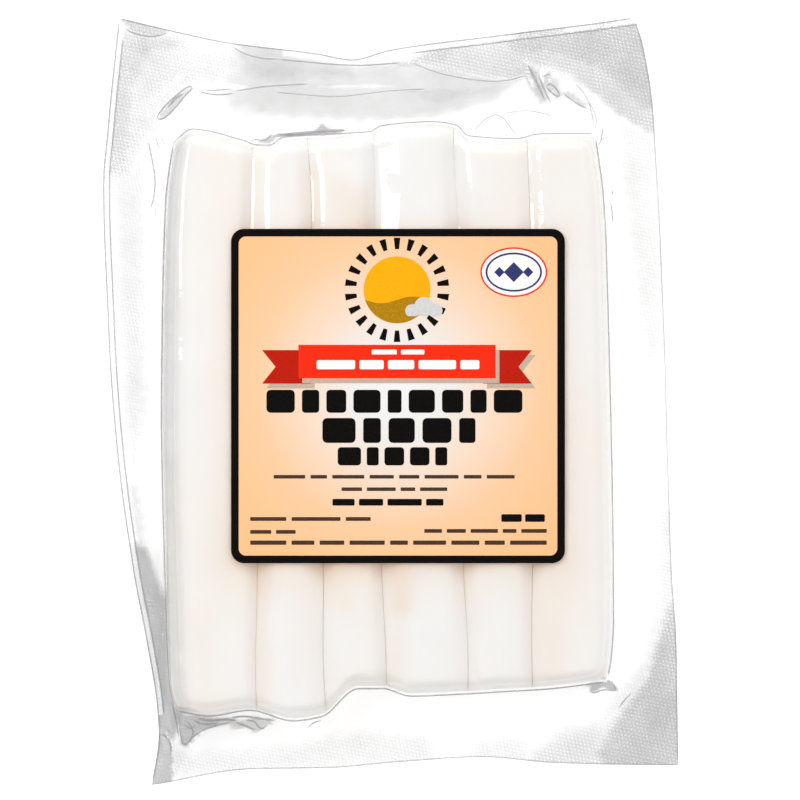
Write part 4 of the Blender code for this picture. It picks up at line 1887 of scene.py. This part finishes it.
@dataclass
class Studio:
    """White floor, soft light and the camera straight above the pack."""

    floor_half: float = 1.6
    floor_drop: float = 0.0002
    floor_steps: int = 8
    height_span: Point = (0.0, 0.8)
    height_shares: Point = (0.87, 1.13)
    depth_span: Point = (-0.7, 0.5)
    depth_shares: Point = (0.88, 1.0)
    side_span: Point = (-0.8, 0.8)
    side_shares: Point = (0.75, 1.25)
    camera_height: float = 1.2
    scale_height: float = 9.0 * MM
    frame_width: float = 168.0 * MM
    aim: Point = (1.92 * MM, 0.42 * MM)
    sensor: float = 36.0
    lights: tuple[SoftLight, ...] = (
        SoftLight("left_window", (-0.72, 0.34, 0.88), (0.42, 0.60), 5.0),
        SoftLight("top_softbox", (0.15, 1.10, 0.75), (1.30, 0.60), 1.6),
        SoftLight("left_strip", (-1.25, 0.0, 0.42), (0.06, 1.80), 3.0),
    )

    def build(self) -> None:
        """Set the whole studio up."""
        self.make_floor()
        self.make_sky()
        for light in self.lights:
            light.build()
        self.make_camera()
        settings = bpy.context.scene.view_settings
        settings.view_transform = "Standard"
        settings.look = "None"
        settings.exposure = 0.0
        settings.gamma = 1.0

    def make_floor(self) -> None:
        """Lay the floor just under the pack."""
        places = np.linspace(-self.floor_half, self.floor_half, self.floor_steps)
        x, y = np.meshgrid(places, places)
        faces, _ = grid_faces(self.floor_steps, self.floor_steps)
        mesh = bpy.data.meshes.new("floor")
        points = np.stack([x, y, np.full_like(x, -self.floor_drop)], 2).reshape(-1, 3)
        mesh.from_pydata(points.tolist(), [], faces)
        mesh.materials.append(FloorFinish().build())
        floor = bpy.data.objects.new("floor", mesh)
        bpy.context.scene.collection.objects.link(floor)

    def make_sky(self) -> None:
        """Light the room from above, dimmer at the horizon, on the near side and on the left."""
        world = bpy.data.worlds.new("studio")
        bpy.context.scene.world = world
        book = NodeBook(world)
        place = book.add("TexCoord").outputs["Generated"]
        side, depth, height = book.add("SeparateXYZ", {0: place}).outputs
        strength = book.product(
            book.span(height, self.height_span, self.height_shares),
            book.span(depth, self.depth_span, self.depth_shares),
            book.span(side, self.side_span, self.side_shares),
        )
        ground = book.add("Background", {"Strength": strength})
        book.add("OutputWorld", {"Surface": ground.outputs[0]})

    def make_camera(self) -> None:
        """Hang the camera so that the photograph's frame fits at the pack's middle height."""
        data = bpy.data.cameras.new("camera")
        data.sensor_width = self.sensor
        data.lens = self.sensor * (self.camera_height - self.scale_height) / self.frame_width
        camera = bpy.data.objects.new("camera", data)
        camera.location = (*self.aim, self.camera_height)
        bpy.context.scene.collection.objects.link(camera)
        bpy.context.scene.camera = camera


def main() -> None:
    """Build the pack and its studio in order."""
    logging.basicConfig(level=logging.INFO, format="%(name)s: %(message)s")
    form = PouchForm()
    film = PouchFilm(form)
    assemblies: tuple[tuple[str, Callable[[], None]], ...] = (
        ("cheese sticks", CheeseSticks(form).build),
        ("pouch film", film.build),
        ("film folds", FilmFolds(form, film).build),
        ("label", Label().build),
        ("studio", Studio().build),
    )
    for name, build in assemblies:
        build()
        log.info("finished the %s", name)


if __name__ == "__main__":
    main()
